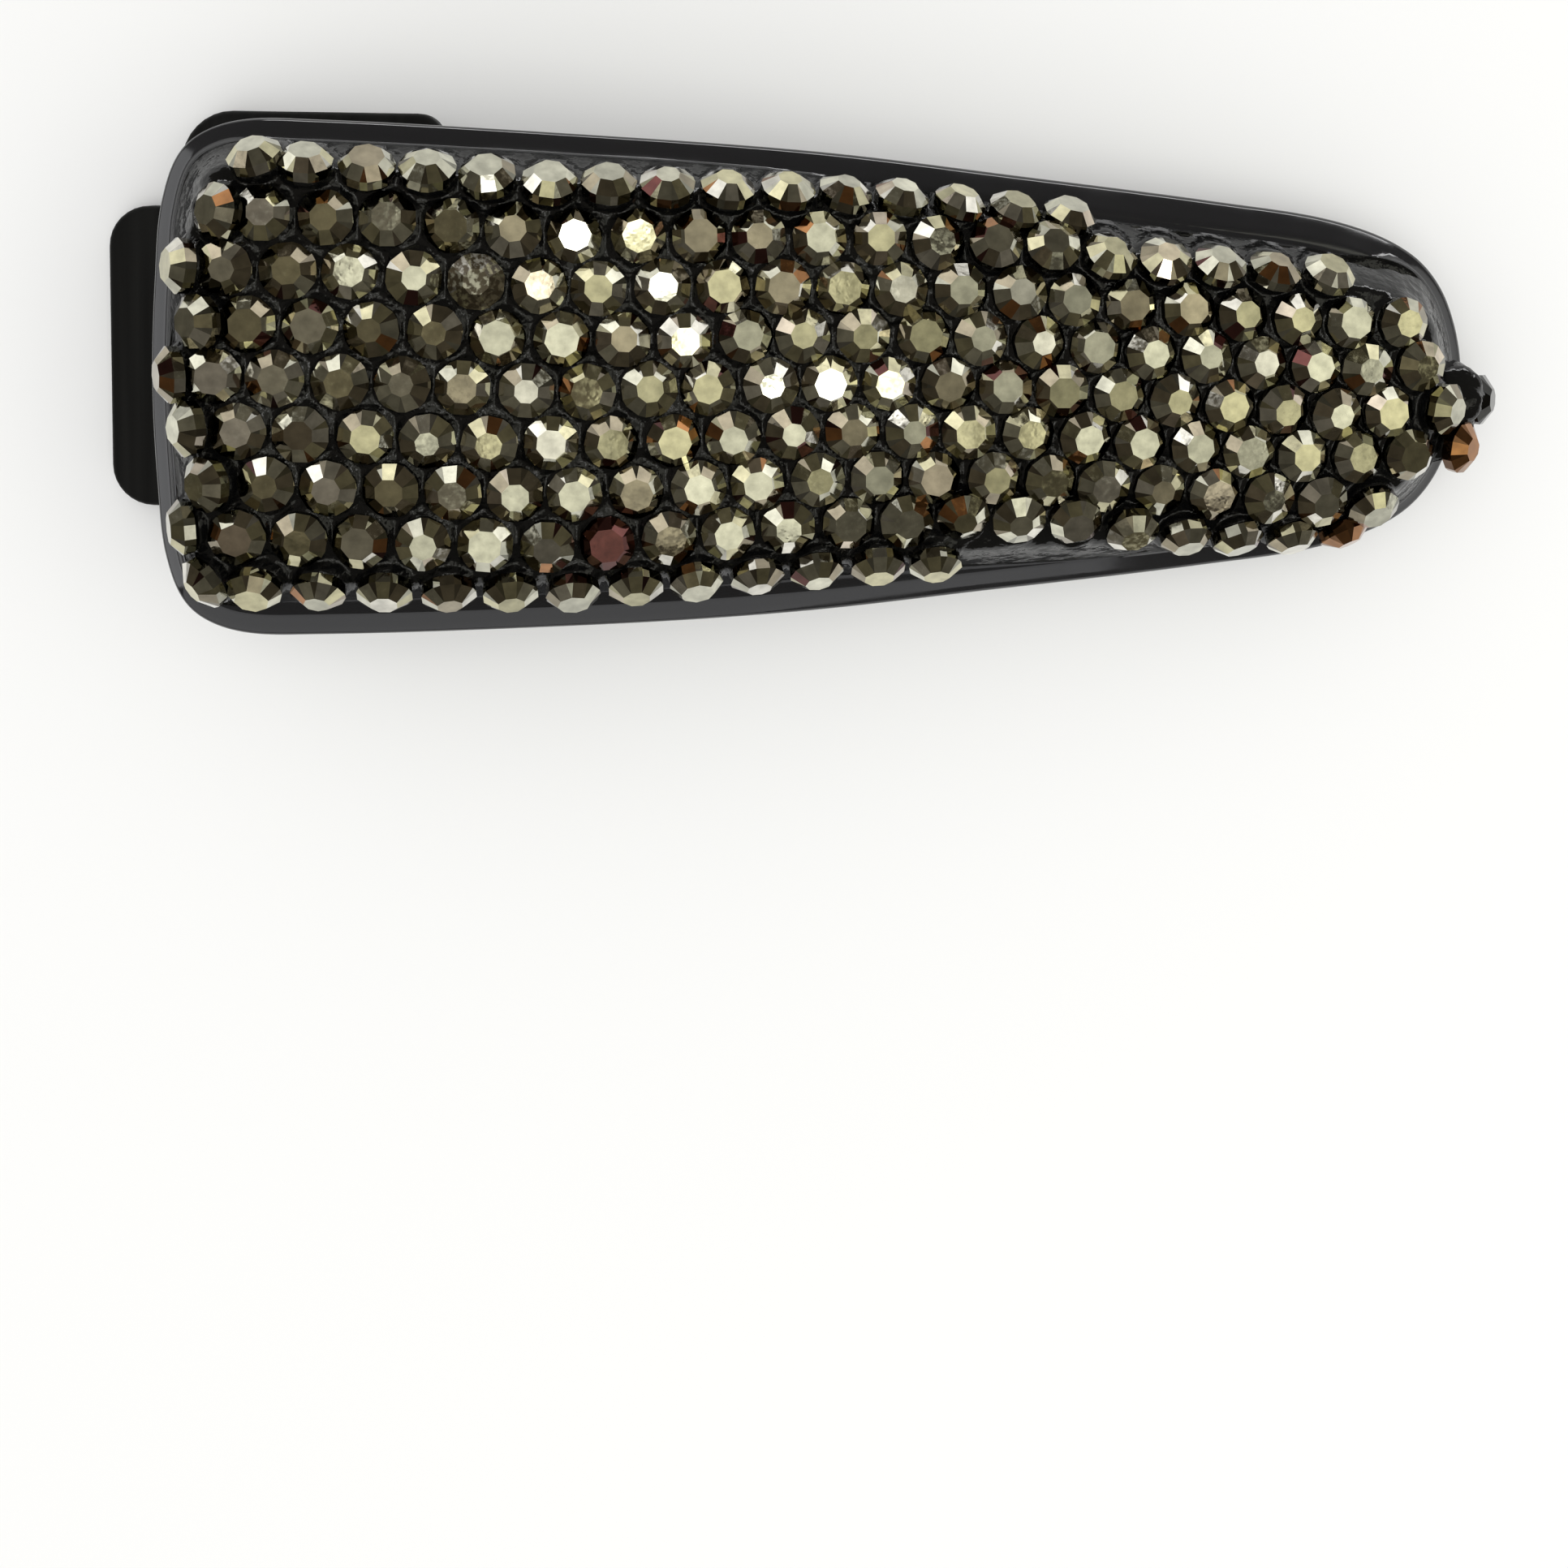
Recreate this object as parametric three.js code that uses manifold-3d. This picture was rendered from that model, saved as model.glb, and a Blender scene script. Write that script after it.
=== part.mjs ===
// Beak hair clip set with rhinestones, closed and lying on its lower arm.
// Millimetres. +X runs from the finger end to the tip, +Y across, +Z up; z = 0 is the table.
import * as THREE from 'three';
import { mergeVertices } from 'three/addons/utils/BufferGeometryUtils.js';
import Module from 'manifold-3d';

const wasm = await Module();
wasm.setup();

// Upper arm: a crowned, hollow shell with a flange, a raised bed for the stones and a rolled rim.
const SHELL_OUTLINE = [ // half of its plan, finger end to tip
  [-44.4, 0], [-44.2, 7], [-43.8, 12.3], [-42.4, 15.9], [-39.3, 17.6], [-34, 17.85], [-16, 17.25],
  [0.6, 16.4], [14.8, 15], [29.8, 13.4], [39, 12.1], [44.8, 9.8], [47.7, 6.2], [49, 0],
];
const OUTLINE_STEPS = 3; // straight pieces between two outline points
const SPINE_FROM = -30; // the surface's rings close on a straight spine between these
const SPINE_TO = 37;
const SHELL_HEIGHT = 18.4; // flange level on the centreline at the finger end
const SHELL_SLOPE = 0.06; // its fall towards the tip, per mm, and how fast that grows
const SHELL_ARCH = 0.00092;
const CROWN_BACK = 1.0; // sideways fall at 15 mm off the centreline, finger end and tip
const CROWN_TIP = 2.0;
const CROWN_HALF = 15;
const FLANGE_END = 1.3; // flange width round the finger end
const FLANGE_LEFT = [1.4, 2.3]; // along +Y, from the finger end to the middle
const FLANGE_RIGHT = [2.6, 1.6]; // along -Y, from the middle to the tip
const FLANGE_TIP = 1.0;
const BED_RISE = 2.6;
const SHOULDER = 2.3; // plan width of the slope between flange and bed
const WALL = 1.7;
const WALL_SHIFT = 1.5; // the hollow's shoulder lies this far inside the outer one
const RIM_DROP = 2.2;
const RIM_ROUND = [[0.6, 0], [0.15, 0.25], [0, 0.8]]; // inset and drop round the flange's edge

// Lower arm: finger tab and pad, arched jaw with two rows of teeth.
const TAB_END = -52.5;
const TAB_HALF = 11.4;
const TAB_ROOT = -47;
const TAB_CORNER = 3.1; // corner radii of the plan
const TAB_FILLET = 1;
const PAD_CORNER = 4;
const STEP_CORNER = 2;
const PAD_HALF = 18.6;
const PAD_END = -26.6;
const JAW_INSET = 2.6; // the jaw's edge lies this far inside the shell's outline
const JAW_STATIONS = [-25, -16, 0, 14, 28]; // where the jaw's edge follows the shell's
const JAW_ROUND = 38; // the tip's rounding starts here
const JAW_TIP = 46.4;
const ARM_THICK = 2;
const ARM_UNDERSIDE = [ // side profile, with an outer point at each end for its direction
  [-60, 0], [-46, 0], [-34, 2.4], [-21, 5.1], [-3, 6.2], [18, 4.4], [30, 1.7], [38, 0], [48, 0],
];
const TOOTH_PITCH = 4;
const TEETH_FROM = -10;
const TEETH_TO = 40;
const TOOTH_ROOT = [1.1, 0.8]; // half lengths along and across the clip
const TOOTH_TOP = [0.35, 0.4];
const TOOTH_INSET = 0.9; // from the jaw's edge to the tooth's middle
const TOOTH_BURIED = 0.5;
const TOOTH_GAP = 0.5; // from a tooth's top to the shell

// Hinge
const HINGE_X = -21;
const HINGE_Z = 11.3;
const PIN_RADIUS = 1;
const PIN_HALF = 10.7;
const PIN_CLEARANCE = 0.06;
const PIN_CHAMFER = 0.25;
const PIN_FACETS = 24;
const EAR_RADIUS = 3;
const EAR_THICK = 2;
const LOWER_EAR = 5.9; // inner face of each ear, from the centreline
const UPPER_EAR = 8.3;
const LOWER_EAR_ROOT = 4.2; // half length where the ear meets its arm
const UPPER_EAR_ROOT = 4.6;

// Torsion spring
const WIRE_RADIUS = 0.55;
const COIL_RADIUS = 2.7;
const COIL_TURNS = 5.5;
const COIL_STEPS = 16; // to a turn
const COIL_HALF = 3.6;
const LEG_REACH = 12.5;
const LEG_GAP = 0.9; // wire centre to the arm it bears on

// Stones, hand set in nine rows
const STONE_RADIUS = 1.85;
const TABLE_RADIUS = 1.05;
const STONE_HEIGHT = 1.5;
const STONE_PITCH = 4.08; // at the finger end; each place along a row is a little tighter
const PITCH_EASE = 0.0018;
const ROW_GAP_BACK = 3.55; // between rows, over the surface
const ROW_GAP_TIP = 3.15;
const SEAT_REACH = 1.4; // a stone lies at the bed's mean slope this far to each side
const EDGE_LEAN = 0.35; // added slope of each row's first stone, pressed over the shoulder
const MIDDLE_ROW = 4;
const MIDDLE_PATH = [ // how it wanders off the centreline, with an outer point at each end
  [-60, 1.2], [-44, 1], [-30, 0.6], [-16, 0.05], [2, 0.75], [14, 0.5], [28, -0.6], [40, -1.35],
  [50, -0.8], [60, -0.8],
];
const ROWS = [ // from +Y to -Y: the place of the stone on the finger end's shoulder, then the even run
  { edge: -36.3, start: -33.4, end: 18.2, pitch: 3.96, shift: -0.3 },
  { edge: -38.6, start: -36.1, end: 39 },
  { edge: -40.7, start: -38.5, end: 45.8 },
  { edge: -39.8, start: -37, end: 46.6 },
  { edge: -41.4, start: -39.2, end: 45.8, tip: 49.6 },
  { edge: -40.4, start: -37.6, end: 47.6 },
  { edge: -39.3, start: -35.9, end: 43 },
  { edge: -40.9, start: -37.8, end: 42 },
  { edge: -39.6, start: -36.8, end: 10, pitch: 4.2, shift: 0.3 },
];
const TIP_TILT = 60; // degrees; the last stone of the middle row hangs over the tip
const TIP_STONE_Z = 4.6;
const GLUE_GAP = 0.12; // shell to glue, and glue to stones
const GLUE_THICK = 0.3;
const BEAD_HEIGHT = 0.4;

const clamp = THREE.MathUtils.clamp;
const lerp = THREE.MathUtils.lerp;

function ease(t) {
  const u = clamp(t, 0, 1);
  return u * u * (3 - 2 * u);
}

// A smooth curve through points; the first and the last point only set the end directions.
function smoothPath(points, steps) {
  const at = points.map(([x, y]) => new THREE.Vector2(x, y));
  const path = [];
  for (let i = 1; i < at.length - 2; i++) {
    const chord = at[i].distanceTo(at[i + 1]);
    const leave = at[i + 1].clone().sub(at[i - 1]).setLength(chord);
    const arrive = at[i + 2].clone().sub(at[i]).setLength(chord);
    for (let k = 0; k < steps; k++) {
      const t = k / steps;
      const near = ease(1 - t);
      const point = at[i].clone().multiplyScalar(near).addScaledVector(at[i + 1], 1 - near);
      point.addScaledVector(leave, t * (1 - t) * (1 - t)).addScaledVector(arrive, t * t * (t - 1));
      path.push(point);
    }
  }
  path.push(at[at.length - 2].clone());
  return path;
}

// A path's y at a place along x; level beyond its ends.
function valueAt(path, x) {
  const next = path.findIndex((point) => point.x > x);
  if (next < 0) return path.at(-1).y;
  if (next === 0) return path[0].y;
  const [a, b] = [path[next - 1], path[next]];
  return lerp(a.y, b.y, (x - a.x) / (b.x - a.x));
}

function mirrored([x, y]) {
  return [x, -y];
}

const halfOutline = smoothPath(
  [mirrored(SHELL_OUTLINE[1]), ...SHELL_OUTLINE, mirrored(SHELL_OUTLINE.at(-2))],
  OUTLINE_STEPS,
);

// How far a point lies inside the shell's outline; negative outside it.
function depthInside(x, y) {
  const point = new THREE.Vector2(x, Math.abs(y));
  const foot = new THREE.Vector2();
  const along = new THREE.Vector2();
  let best = Infinity;
  let inside = 1;
  for (let i = 0; i + 1 < halfOutline.length; i++) {
    const start = halfOutline[i];
    along.subVectors(halfOutline[i + 1], start);
    foot.subVectors(point, start);
    const t = clamp(foot.dot(along) / along.lengthSq(), 0, 1);
    foot.copy(start).addScaledVector(along, t);
    const distance = foot.distanceTo(point);
    if (distance < best) {
      best = distance;
      inside = Math.sign(along.y * (x - start.x) - along.x * (point.y - start.y)) || 1;
    }
  }
  return best * inside;
}

function baseHeight(x) {
  const u = x - SHELL_OUTLINE[0][0];
  return SHELL_HEIGHT - SHELL_SLOPE * u - SHELL_ARCH * u * u;
}

function crownDrop(x, y) {
  const crown = lerp(CROWN_BACK, CROWN_TIP, ease((x + 15) / 30));
  return crown * (y / CROWN_HALF) ** 2;
}

// The flange is narrow round the finger end; the stones' bed sits a little askew on the shell.
function flangeWidth(x, y) {
  const left = lerp(...FLANGE_LEFT, ease((x + 10) / 35));
  const right = lerp(...FLANGE_RIGHT, ease(x / 25));
  const side = lerp(FLANGE_END, y >= 0 ? left : right, ease((x + 44) / 8));
  return lerp(side, FLANGE_TIP, ease((x - 38) / 8));
}

function shoulder(x, y, shift) {
  return BED_RISE * ease((depthInside(x, y) - flangeWidth(x, y) - shift) / SHOULDER);
}

function flangeHeight(x, y) {
  return baseHeight(x) - crownDrop(x, y);
}

function topHeight(x, y) {
  return flangeHeight(x, y) + shoulder(x, y, 0);
}

function underHeight(x, y) {
  return flangeHeight(x, y) - WALL + shoulder(x, y, WALL_SHIFT);
}

// The outline as a full loop, each point with its inward ray to the spine.
const outlineLoop = [];
for (const side of [1, -1]) {
  const last = halfOutline.length - 1;
  for (let k = side > 0 ? 0 : 1; k <= (side > 0 ? last : last - 1); k++) {
    const i = side > 0 ? k : last - k;
    const point = halfOutline[i];
    const before = i > 0 ? halfOutline[i - 1] : new THREE.Vector2(halfOutline[1].x, -halfOutline[1].y);
    const after = i < last
      ? halfOutline[i + 1]
      : new THREE.Vector2(halfOutline[last - 1].x, -halfOutline[last - 1].y);
    const normal = new THREE.Vector2(after.y - before.y, before.x - after.x).normalize();
    const spine = clamp(point.x, SPINE_FROM, SPINE_TO);
    const ray = new THREE.Vector2(spine, 0).sub(point);
    const reach = ray.length();
    ray.divideScalar(reach);
    outlineLoop.push({ point, ray, reach, slant: Math.max(ray.dot(normal), 0.5), side });
  }
}

// A plan loop that lies depth(x, side) inside the outline, or a share of the way on to the spine.
function insetLoop(depth, share = 0) {
  return outlineLoop.map(({ point, ray, reach, slant, side }) => {
    const start = Math.min(depth(point.x, side) / slant, reach);
    const at = point.clone().addScaledVector(ray, lerp(start, reach, share));
    return new THREE.Vector2(at.x, at.y * side);
  });
}

function lifted(loop, height) {
  return loop.map(({ x, y }) => new THREE.Vector3(x, y, height(x, y)));
}

function geometryOf(corners) {
  const geometry = new THREE.BufferGeometry().setFromPoints(corners);
  return mergeVertices(geometry, 1e-4);
}

function addTriangle(corners, a, b, c) {
  const tiny = 1e-4;
  if (a.distanceTo(b) > tiny && b.distanceTo(c) > tiny && c.distanceTo(a) > tiny) corners.push(a, b, c);
}

// Joins each loop to the next; the first and the last loop have closed on the spine.
function ringSolid(loops) {
  const corners = [];
  for (let r = 0; r + 1 < loops.length; r++) {
    for (let i = 0; i < loops[r].length; i++) {
      const j = (i + 1) % loops[r].length;
      addTriangle(corners, loops[r][i], loops[r][j], loops[r + 1][j]);
      addTriangle(corners, loops[r][i], loops[r + 1][j], loops[r + 1][i]);
    }
  }
  return geometryOf(corners);
}

// Joins cross-sections in order, each a convex loop, and caps both ends.
function loftSolid(sections) {
  const corners = [];
  const count = sections[0].length;
  for (let s = 0; s + 1 < sections.length; s++) {
    for (let i = 0; i < count; i++) {
      const j = (i + 1) % count;
      addTriangle(corners, sections[s][i], sections[s][j], sections[s + 1][j]);
      addTriangle(corners, sections[s][i], sections[s + 1][j], sections[s + 1][i]);
    }
  }
  const last = sections.at(-1);
  for (let i = 1; i + 1 < count; i++) {
    addTriangle(corners, sections[0][0], sections[0][i + 1], sections[0][i]);
    addTriangle(corners, last[0], last[i], last[i + 1]);
  }
  return geometryOf(corners);
}

function toSolid(source) {
  const bare = source.clone();
  bare.deleteAttribute('normal');
  bare.deleteAttribute('uv');
  const geometry = mergeVertices(bare, 1e-4);
  return new wasm.Manifold(new wasm.Mesh({
    numProp: 3,
    vertProperties: new Float32Array(geometry.attributes.position.array),
    triVerts: new Uint32Array(geometry.index.array),
  }));
}

function fromSolid(solid) {
  const mesh = solid.getMesh();
  const geometry = new THREE.BufferGeometry();
  geometry.setAttribute('position', new THREE.BufferAttribute(mesh.vertProperties, 3));
  geometry.setIndex(new THREE.BufferAttribute(mesh.triVerts, 1));
  return geometry;
}

// A side profile in x and z, extruded across the clip between two values of y.
function acrossClip(shape, from, to) {
  const geometry = new THREE.ExtrudeGeometry(shape, { depth: to - from, bevelEnabled: false });
  return geometry.rotateX(Math.PI / 2).translate(0, to, 0);
}

function pinHole() {
  const radius = (PIN_RADIUS + PIN_CLEARANCE) / Math.cos(Math.PI / PIN_FACETS);
  const hole = new THREE.CylinderGeometry(radius, radius, 4 * PIN_HALF, PIN_FACETS);
  return toSolid(hole.translate(HINGE_X, 0, HINGE_Z));
}

// A hinge ear: round about the pin, flaring to its root on an arm.
function hingeEar(inner, rootHeight, rootHalf) {
  const shape = new THREE.Shape();
  const up = Math.sign(rootHeight - HINGE_Z);
  shape.moveTo(HINGE_X + rootHalf, rootHeight);
  shape.lineTo(HINGE_X + EAR_RADIUS, HINGE_Z);
  shape.absarc(HINGE_X, HINGE_Z, EAR_RADIUS, 0, Math.PI, up > 0);
  shape.lineTo(HINGE_X - rootHalf, rootHeight);
  shape.closePath();
  return toSolid(acrossClip(shape, inner, inner + EAR_THICK));
}

function upperArm() {
  const rim = (x, y) => flangeHeight(x, y) - RIM_DROP;
  const foot = (x, side) => flangeWidth(x, side);
  const slope = (share, shift = 0) => (x, side) => foot(x, side) + shift + share * SHOULDER;
  const loops = [
    lifted(insetLoop(slope(1), 1), topHeight),
    lifted(insetLoop(slope(1), 0.5), topHeight),
    lifted(insetLoop(slope(1)), topHeight),
    lifted(insetLoop(slope(0.72)), topHeight),
    lifted(insetLoop(slope(0.5)), topHeight),
    lifted(insetLoop(slope(0.28)), topHeight),
    lifted(insetLoop(foot), topHeight),
    ...RIM_ROUND.map(([inset, drop]) => (
      lifted(insetLoop(() => inset), (x, y) => flangeHeight(x, y) - drop)
    )),
    lifted(insetLoop(() => 0), rim),
    lifted(insetLoop(() => WALL), rim),
    lifted(insetLoop(() => WALL), (x, y) => flangeHeight(x, y) - WALL),
    lifted(insetLoop(slope(0, WALL_SHIFT)), underHeight),
    lifted(insetLoop(slope(0.5, WALL_SHIFT)), underHeight),
    lifted(insetLoop(slope(1, WALL_SHIFT)), underHeight),
    lifted(insetLoop(slope(1, WALL_SHIFT), 1), underHeight),
  ];
  let arm = toSolid(ringSolid(loops));
  const root = underHeight(HINGE_X, UPPER_EAR) + WALL / 2;
  for (const inner of [UPPER_EAR, -UPPER_EAR - EAR_THICK]) {
    arm = arm.add(hingeEar(inner, root, UPPER_EAR_ROOT));
  }
  return fromSolid(arm.subtract(pinHole()));
}

const armUnderside = smoothPath(ARM_UNDERSIDE, 4);

function armTop(x) {
  return valueAt(armUnderside, x) + ARM_THICK;
}

// The arm's side view: flat feet under the finger tab and the tip, arched between them.
function armProfile() {
  const shape = new THREE.Shape();
  shape.moveTo(TAB_END - 1, 0);
  for (const point of armUnderside) shape.lineTo(point.x, point.y);
  shape.lineTo(JAW_TIP + 1, 0);
  shape.lineTo(JAW_TIP + 1, ARM_THICK);
  for (const point of [...armUnderside].reverse()) shape.lineTo(point.x, point.y + ARM_THICK);
  shape.lineTo(TAB_END - 1, ARM_THICK);
  shape.closePath();
  return shape;
}

function jawHalf(x) {
  return valueAt(halfOutline, x) - JAW_INSET;
}

// The arm's plan, drawn up one side and mirrored: tab, pad, rounded step, tapering jaw, tip.
function armPlan() {
  const side = [[TAB_END, 0]];
  const corner = (x, y, radius, from, to) => {
    for (let k = 0; k <= 5; k++) {
      const angle = THREE.MathUtils.degToRad(lerp(from, to, k / 5));
      side.push([x + radius * Math.cos(angle), y + radius * Math.sin(angle)]);
    }
  };
  corner(TAB_END + TAB_CORNER, TAB_HALF - TAB_CORNER, TAB_CORNER, 180, 90);
  corner(TAB_ROOT - TAB_FILLET, TAB_HALF + TAB_FILLET, TAB_FILLET, -90, 0);
  corner(TAB_ROOT + PAD_CORNER, PAD_HALF - PAD_CORNER, PAD_CORNER, 180, 90);
  corner(PAD_END - STEP_CORNER, PAD_HALF - STEP_CORNER, STEP_CORNER, 90, 0);
  for (const x of [...JAW_STATIONS, JAW_ROUND]) side.push([x, jawHalf(x)]);
  const tipHalf = jawHalf(JAW_ROUND);
  for (let k = 1; k < 8; k++) {
    const angle = (k / 8) * (Math.PI / 2);
    side.push([lerp(JAW_ROUND, JAW_TIP, Math.sin(angle)), tipHalf * Math.cos(angle) ** 0.8]);
  }
  side.push([JAW_TIP, 0]);
  const other = side.slice(1, -1).reverse().map(mirrored);
  return new THREE.Shape([...side, ...other].map(([x, y]) => new THREE.Vector2(x, y)));
}

function tooth(x, side) {
  const y = side * (jawHalf(x) - TOOTH_INSET);
  const root = armTop(x) - TOOTH_BURIED;
  const top = underHeight(x, y) - TOOTH_GAP;
  const section = (z, [halfLength, halfWidth]) => [
    [-1, -1], [1, -1], [1, 1], [-1, 1],
  ].map(([u, v]) => new THREE.Vector3(x + u * halfLength, y + v * halfWidth, z));
  return toSolid(loftSolid([section(root, TOOTH_ROOT), section(top, TOOTH_TOP)]));
}

function lowerArm() {
  const plan = new THREE.ExtrudeGeometry(armPlan(), { depth: 30, bevelEnabled: false });
  const side = acrossClip(armProfile(), -PAD_HALF - 1, PAD_HALF + 1);
  let arm = toSolid(plan.translate(0, 0, -10)).intersect(toSolid(side));
  const root = armTop(HINGE_X) - ARM_THICK / 2;
  for (const inner of [LOWER_EAR, -LOWER_EAR - EAR_THICK]) {
    arm = arm.add(hingeEar(inner, root, LOWER_EAR_ROOT));
  }
  for (let x = TEETH_FROM; x <= TEETH_TO; x += TOOTH_PITCH) {
    for (const side of [1, -1]) arm = arm.add(tooth(x, side));
  }
  return fromSolid(arm.subtract(pinHole()));
}

function hingePin() {
  const face = PIN_RADIUS - PIN_CHAMFER;
  const shank = PIN_HALF - PIN_CHAMFER;
  const profile = [
    [0, -PIN_HALF], [face, -PIN_HALF], [PIN_RADIUS, -shank],
    [PIN_RADIUS, shank], [face, PIN_HALF], [0, PIN_HALF],
  ].map(([x, y]) => new THREE.Vector2(x, y));
  return new THREE.LatheGeometry(profile, PIN_FACETS).translate(HINGE_X, 0, HINGE_Z);
}

// A leg under the shell, the coil round the pin, and a leg on the pad.
class SpringWire extends THREE.Curve {
  constructor() {
    super();
    const end = HINGE_X - LEG_REACH;
    this.upperEnd = new THREE.Vector3(end, COIL_HALF, underHeight(end, COIL_HALF) - LEG_GAP);
    this.lowerEnd = new THREE.Vector3(end, -COIL_HALF, armTop(end) + LEG_GAP);
    this.coil = COIL_TURNS * 2 * Math.PI * COIL_RADIUS;
    this.whole = this.coil + 2 * LEG_REACH;
  }

  coilPoint(turned) {
    const angle = Math.PI / 2 - turned * COIL_TURNS * 2 * Math.PI;
    return new THREE.Vector3(
      HINGE_X + COIL_RADIUS * Math.cos(angle),
      lerp(COIL_HALF, -COIL_HALF, turned),
      HINGE_Z + COIL_RADIUS * Math.sin(angle),
    );
  }

  getPoint(t) {
    const run = t * this.whole;
    if (run < LEG_REACH) return this.upperEnd.clone().lerp(this.coilPoint(0), run / LEG_REACH);
    if (run < LEG_REACH + this.coil) return this.coilPoint((run - LEG_REACH) / this.coil);
    return this.coilPoint(1).lerp(this.lowerEnd, (run - LEG_REACH - this.coil) / LEG_REACH);
  }
}

function torsionSpring() {
  const section = new THREE.Shape();
  section.absarc(0, 0, WIRE_RADIUS, 0, 2 * Math.PI);
  const wire = new SpringWire();
  const steps = Math.round((COIL_STEPS * COIL_TURNS * wire.whole) / wire.coil);
  return new THREE.ExtrudeGeometry(section, { steps, curveSegments: 4, extrudePath: wire });
}

function glueLayer() {
  const foot = (x, side) => flangeWidth(x, side) + 0.1; // the glue stops just short of the flange
  const slope = (share) => (x, side) => foot(x, side) + share * SHOULDER;
  const low = (x, y) => topHeight(x, y) + GLUE_GAP;
  const high = (x, y) => low(x, y) + GLUE_THICK * ease(2 * (depthInside(x, y) - foot(x, y)));
  const plan = [
    insetLoop(slope(1), 1), insetLoop(slope(1), 0.5), insetLoop(slope(1)), insetLoop(slope(0.7)),
    insetLoop(slope(0.45)), insetLoop(slope(0.2)),
  ];
  const loops = plan.map((loop) => lifted(loop, high));
  loops.push(lifted(insetLoop(foot), (x, y) => low(x, y) + GLUE_THICK / 3));
  loops.push(lifted(insetLoop(foot), low));
  for (const loop of plan.reverse()) loops.push(lifted(loop, low));
  return ringSolid(loops);
}

// The place at a distance over the surface from the centreline, at one station along the clip.
function acrossTo(x, reach) {
  const step = 0.05 * Math.sign(reach);
  let y = 0;
  let travelled = 0;
  while (travelled < Math.abs(reach)) {
    travelled += Math.hypot(step, topHeight(x, y + step) - topHeight(x, y));
    y += step;
  }
  return y;
}

// A frame on the bed, leaned towards the finger end and lifted until a disc of this radius lies
// clear of the glue.
function seat(x, y, radius, lean) {
  const bed = new THREE.Vector3(
    topHeight(x - SEAT_REACH, y) - topHeight(x + SEAT_REACH, y),
    topHeight(x, y - SEAT_REACH) - topHeight(x, y + SEAT_REACH),
    2 * SEAT_REACH,
  ).normalize();
  const normal = bed.clone().add(new THREE.Vector3(-lean * bed.z, 0, 0)).normalize();
  const along = new THREE.Vector3(1, 0, 0).addScaledVector(normal, -normal.x).normalize();
  const across = normal.clone().cross(along);
  const centre = new THREE.Vector3(x, y, topHeight(x, y));
  let lift = 0;
  for (let k = 0; k < 16; k++) {
    const angle = (k * Math.PI) / 8;
    const edge = centre.clone()
      .addScaledVector(along, radius * Math.cos(angle))
      .addScaledVector(across, radius * Math.sin(angle));
    if (depthInside(edge.x, edge.y) < 0) continue;
    lift = Math.max(lift, ((topHeight(edge.x, edge.y) - edge.z) * bed.z) / bed.dot(normal));
  }
  centre.addScaledVector(normal, lift + 2 * GLUE_GAP + GLUE_THICK);
  return new THREE.Matrix4().makeBasis(along, across, normal).setPosition(centre);
}

// A flat-backed stone's corners in its seat: the girdle, the table, and where a glue bead meets it.
function stoneCorners(frame) {
  const ring = (radius, height) => Array.from({ length: 8 }, (_, k) => {
    const angle = ((k + 0.5) * Math.PI) / 4;
    const corner = new THREE.Vector3(radius * Math.cos(angle), radius * Math.sin(angle), height);
    return corner.applyMatrix4(frame);
  });
  const share = BEAD_HEIGHT / STONE_HEIGHT;
  return {
    girdle: ring(STONE_RADIUS, 0),
    table: ring(TABLE_RADIUS, STONE_HEIGHT),
    bead: ring(lerp(STONE_RADIUS, TABLE_RADIUS, share), BEAD_HEIGHT),
  };
}

function addFace(corners, face) {
  for (let i = 1; i + 1 < face.length; i++) addTriangle(corners, face[0], face[i], face[i + 1]);
}

// Stones in a row, each joined to the next by a short bead of glue between their facing sides.
function stoneString(frames) {
  const corners = [];
  const stones = frames.map(stoneCorners);
  stones.forEach(({ girdle, table, bead }, at) => {
    const joined = [];
    if (at + 1 < stones.length) joined.push(7);
    if (at > 0) joined.push(3);
    const meets = (k) => joined.some((side) => k === side || k === (side + 1) % 8);
    addFace(corners, table);
    addFace(corners, [...girdle].reverse());
    for (let k = 0; k < 8; k++) {
      const next = (k + 1) % 8;
      if (joined.includes(k)) addFace(corners, [bead[k], bead[next], table[next], table[k]]);
      else if (meets(k)) addFace(corners, [girdle[next], table[next], table[k], bead[k], girdle[k]]);
      else if (meets(next)) addFace(corners, [table[k], girdle[k], girdle[next], bead[next], table[next]]);
      else addFace(corners, [girdle[k], girdle[next], table[next], table[k]]);
    }
  });
  for (let at = 0; at + 1 < stones.length; at++) {
    const [a, b] = [stones[at], stones[at + 1]];
    const near = [a.girdle[7], a.girdle[0], a.bead[0], a.bead[7]];
    const far = [b.girdle[4], b.girdle[3], b.bead[3], b.bead[4]];
    for (let k = 0; k < 4; k++) addFace(corners, [near[k], near[(k + 1) % 4], far[(k + 1) % 4], far[k]]);
  }
  return geometryOf(corners);
}

const middlePath = smoothPath(MIDDLE_PATH, 4);

function rowReach(row, x) {
  const gap = lerp(ROW_GAP_BACK, ROW_GAP_TIP, ease((x + 30) / 45));
  return valueAt(middlePath, x) + (MIDDLE_ROW - row) * gap + (ROWS[row].shift ?? 0);
}

function tipSeat(x, y) {
  const tilt = THREE.MathUtils.degToRad(TIP_TILT);
  return new THREE.Matrix4().makeRotationY(tilt).setPosition(x, y, TIP_STONE_Z);
}

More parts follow.
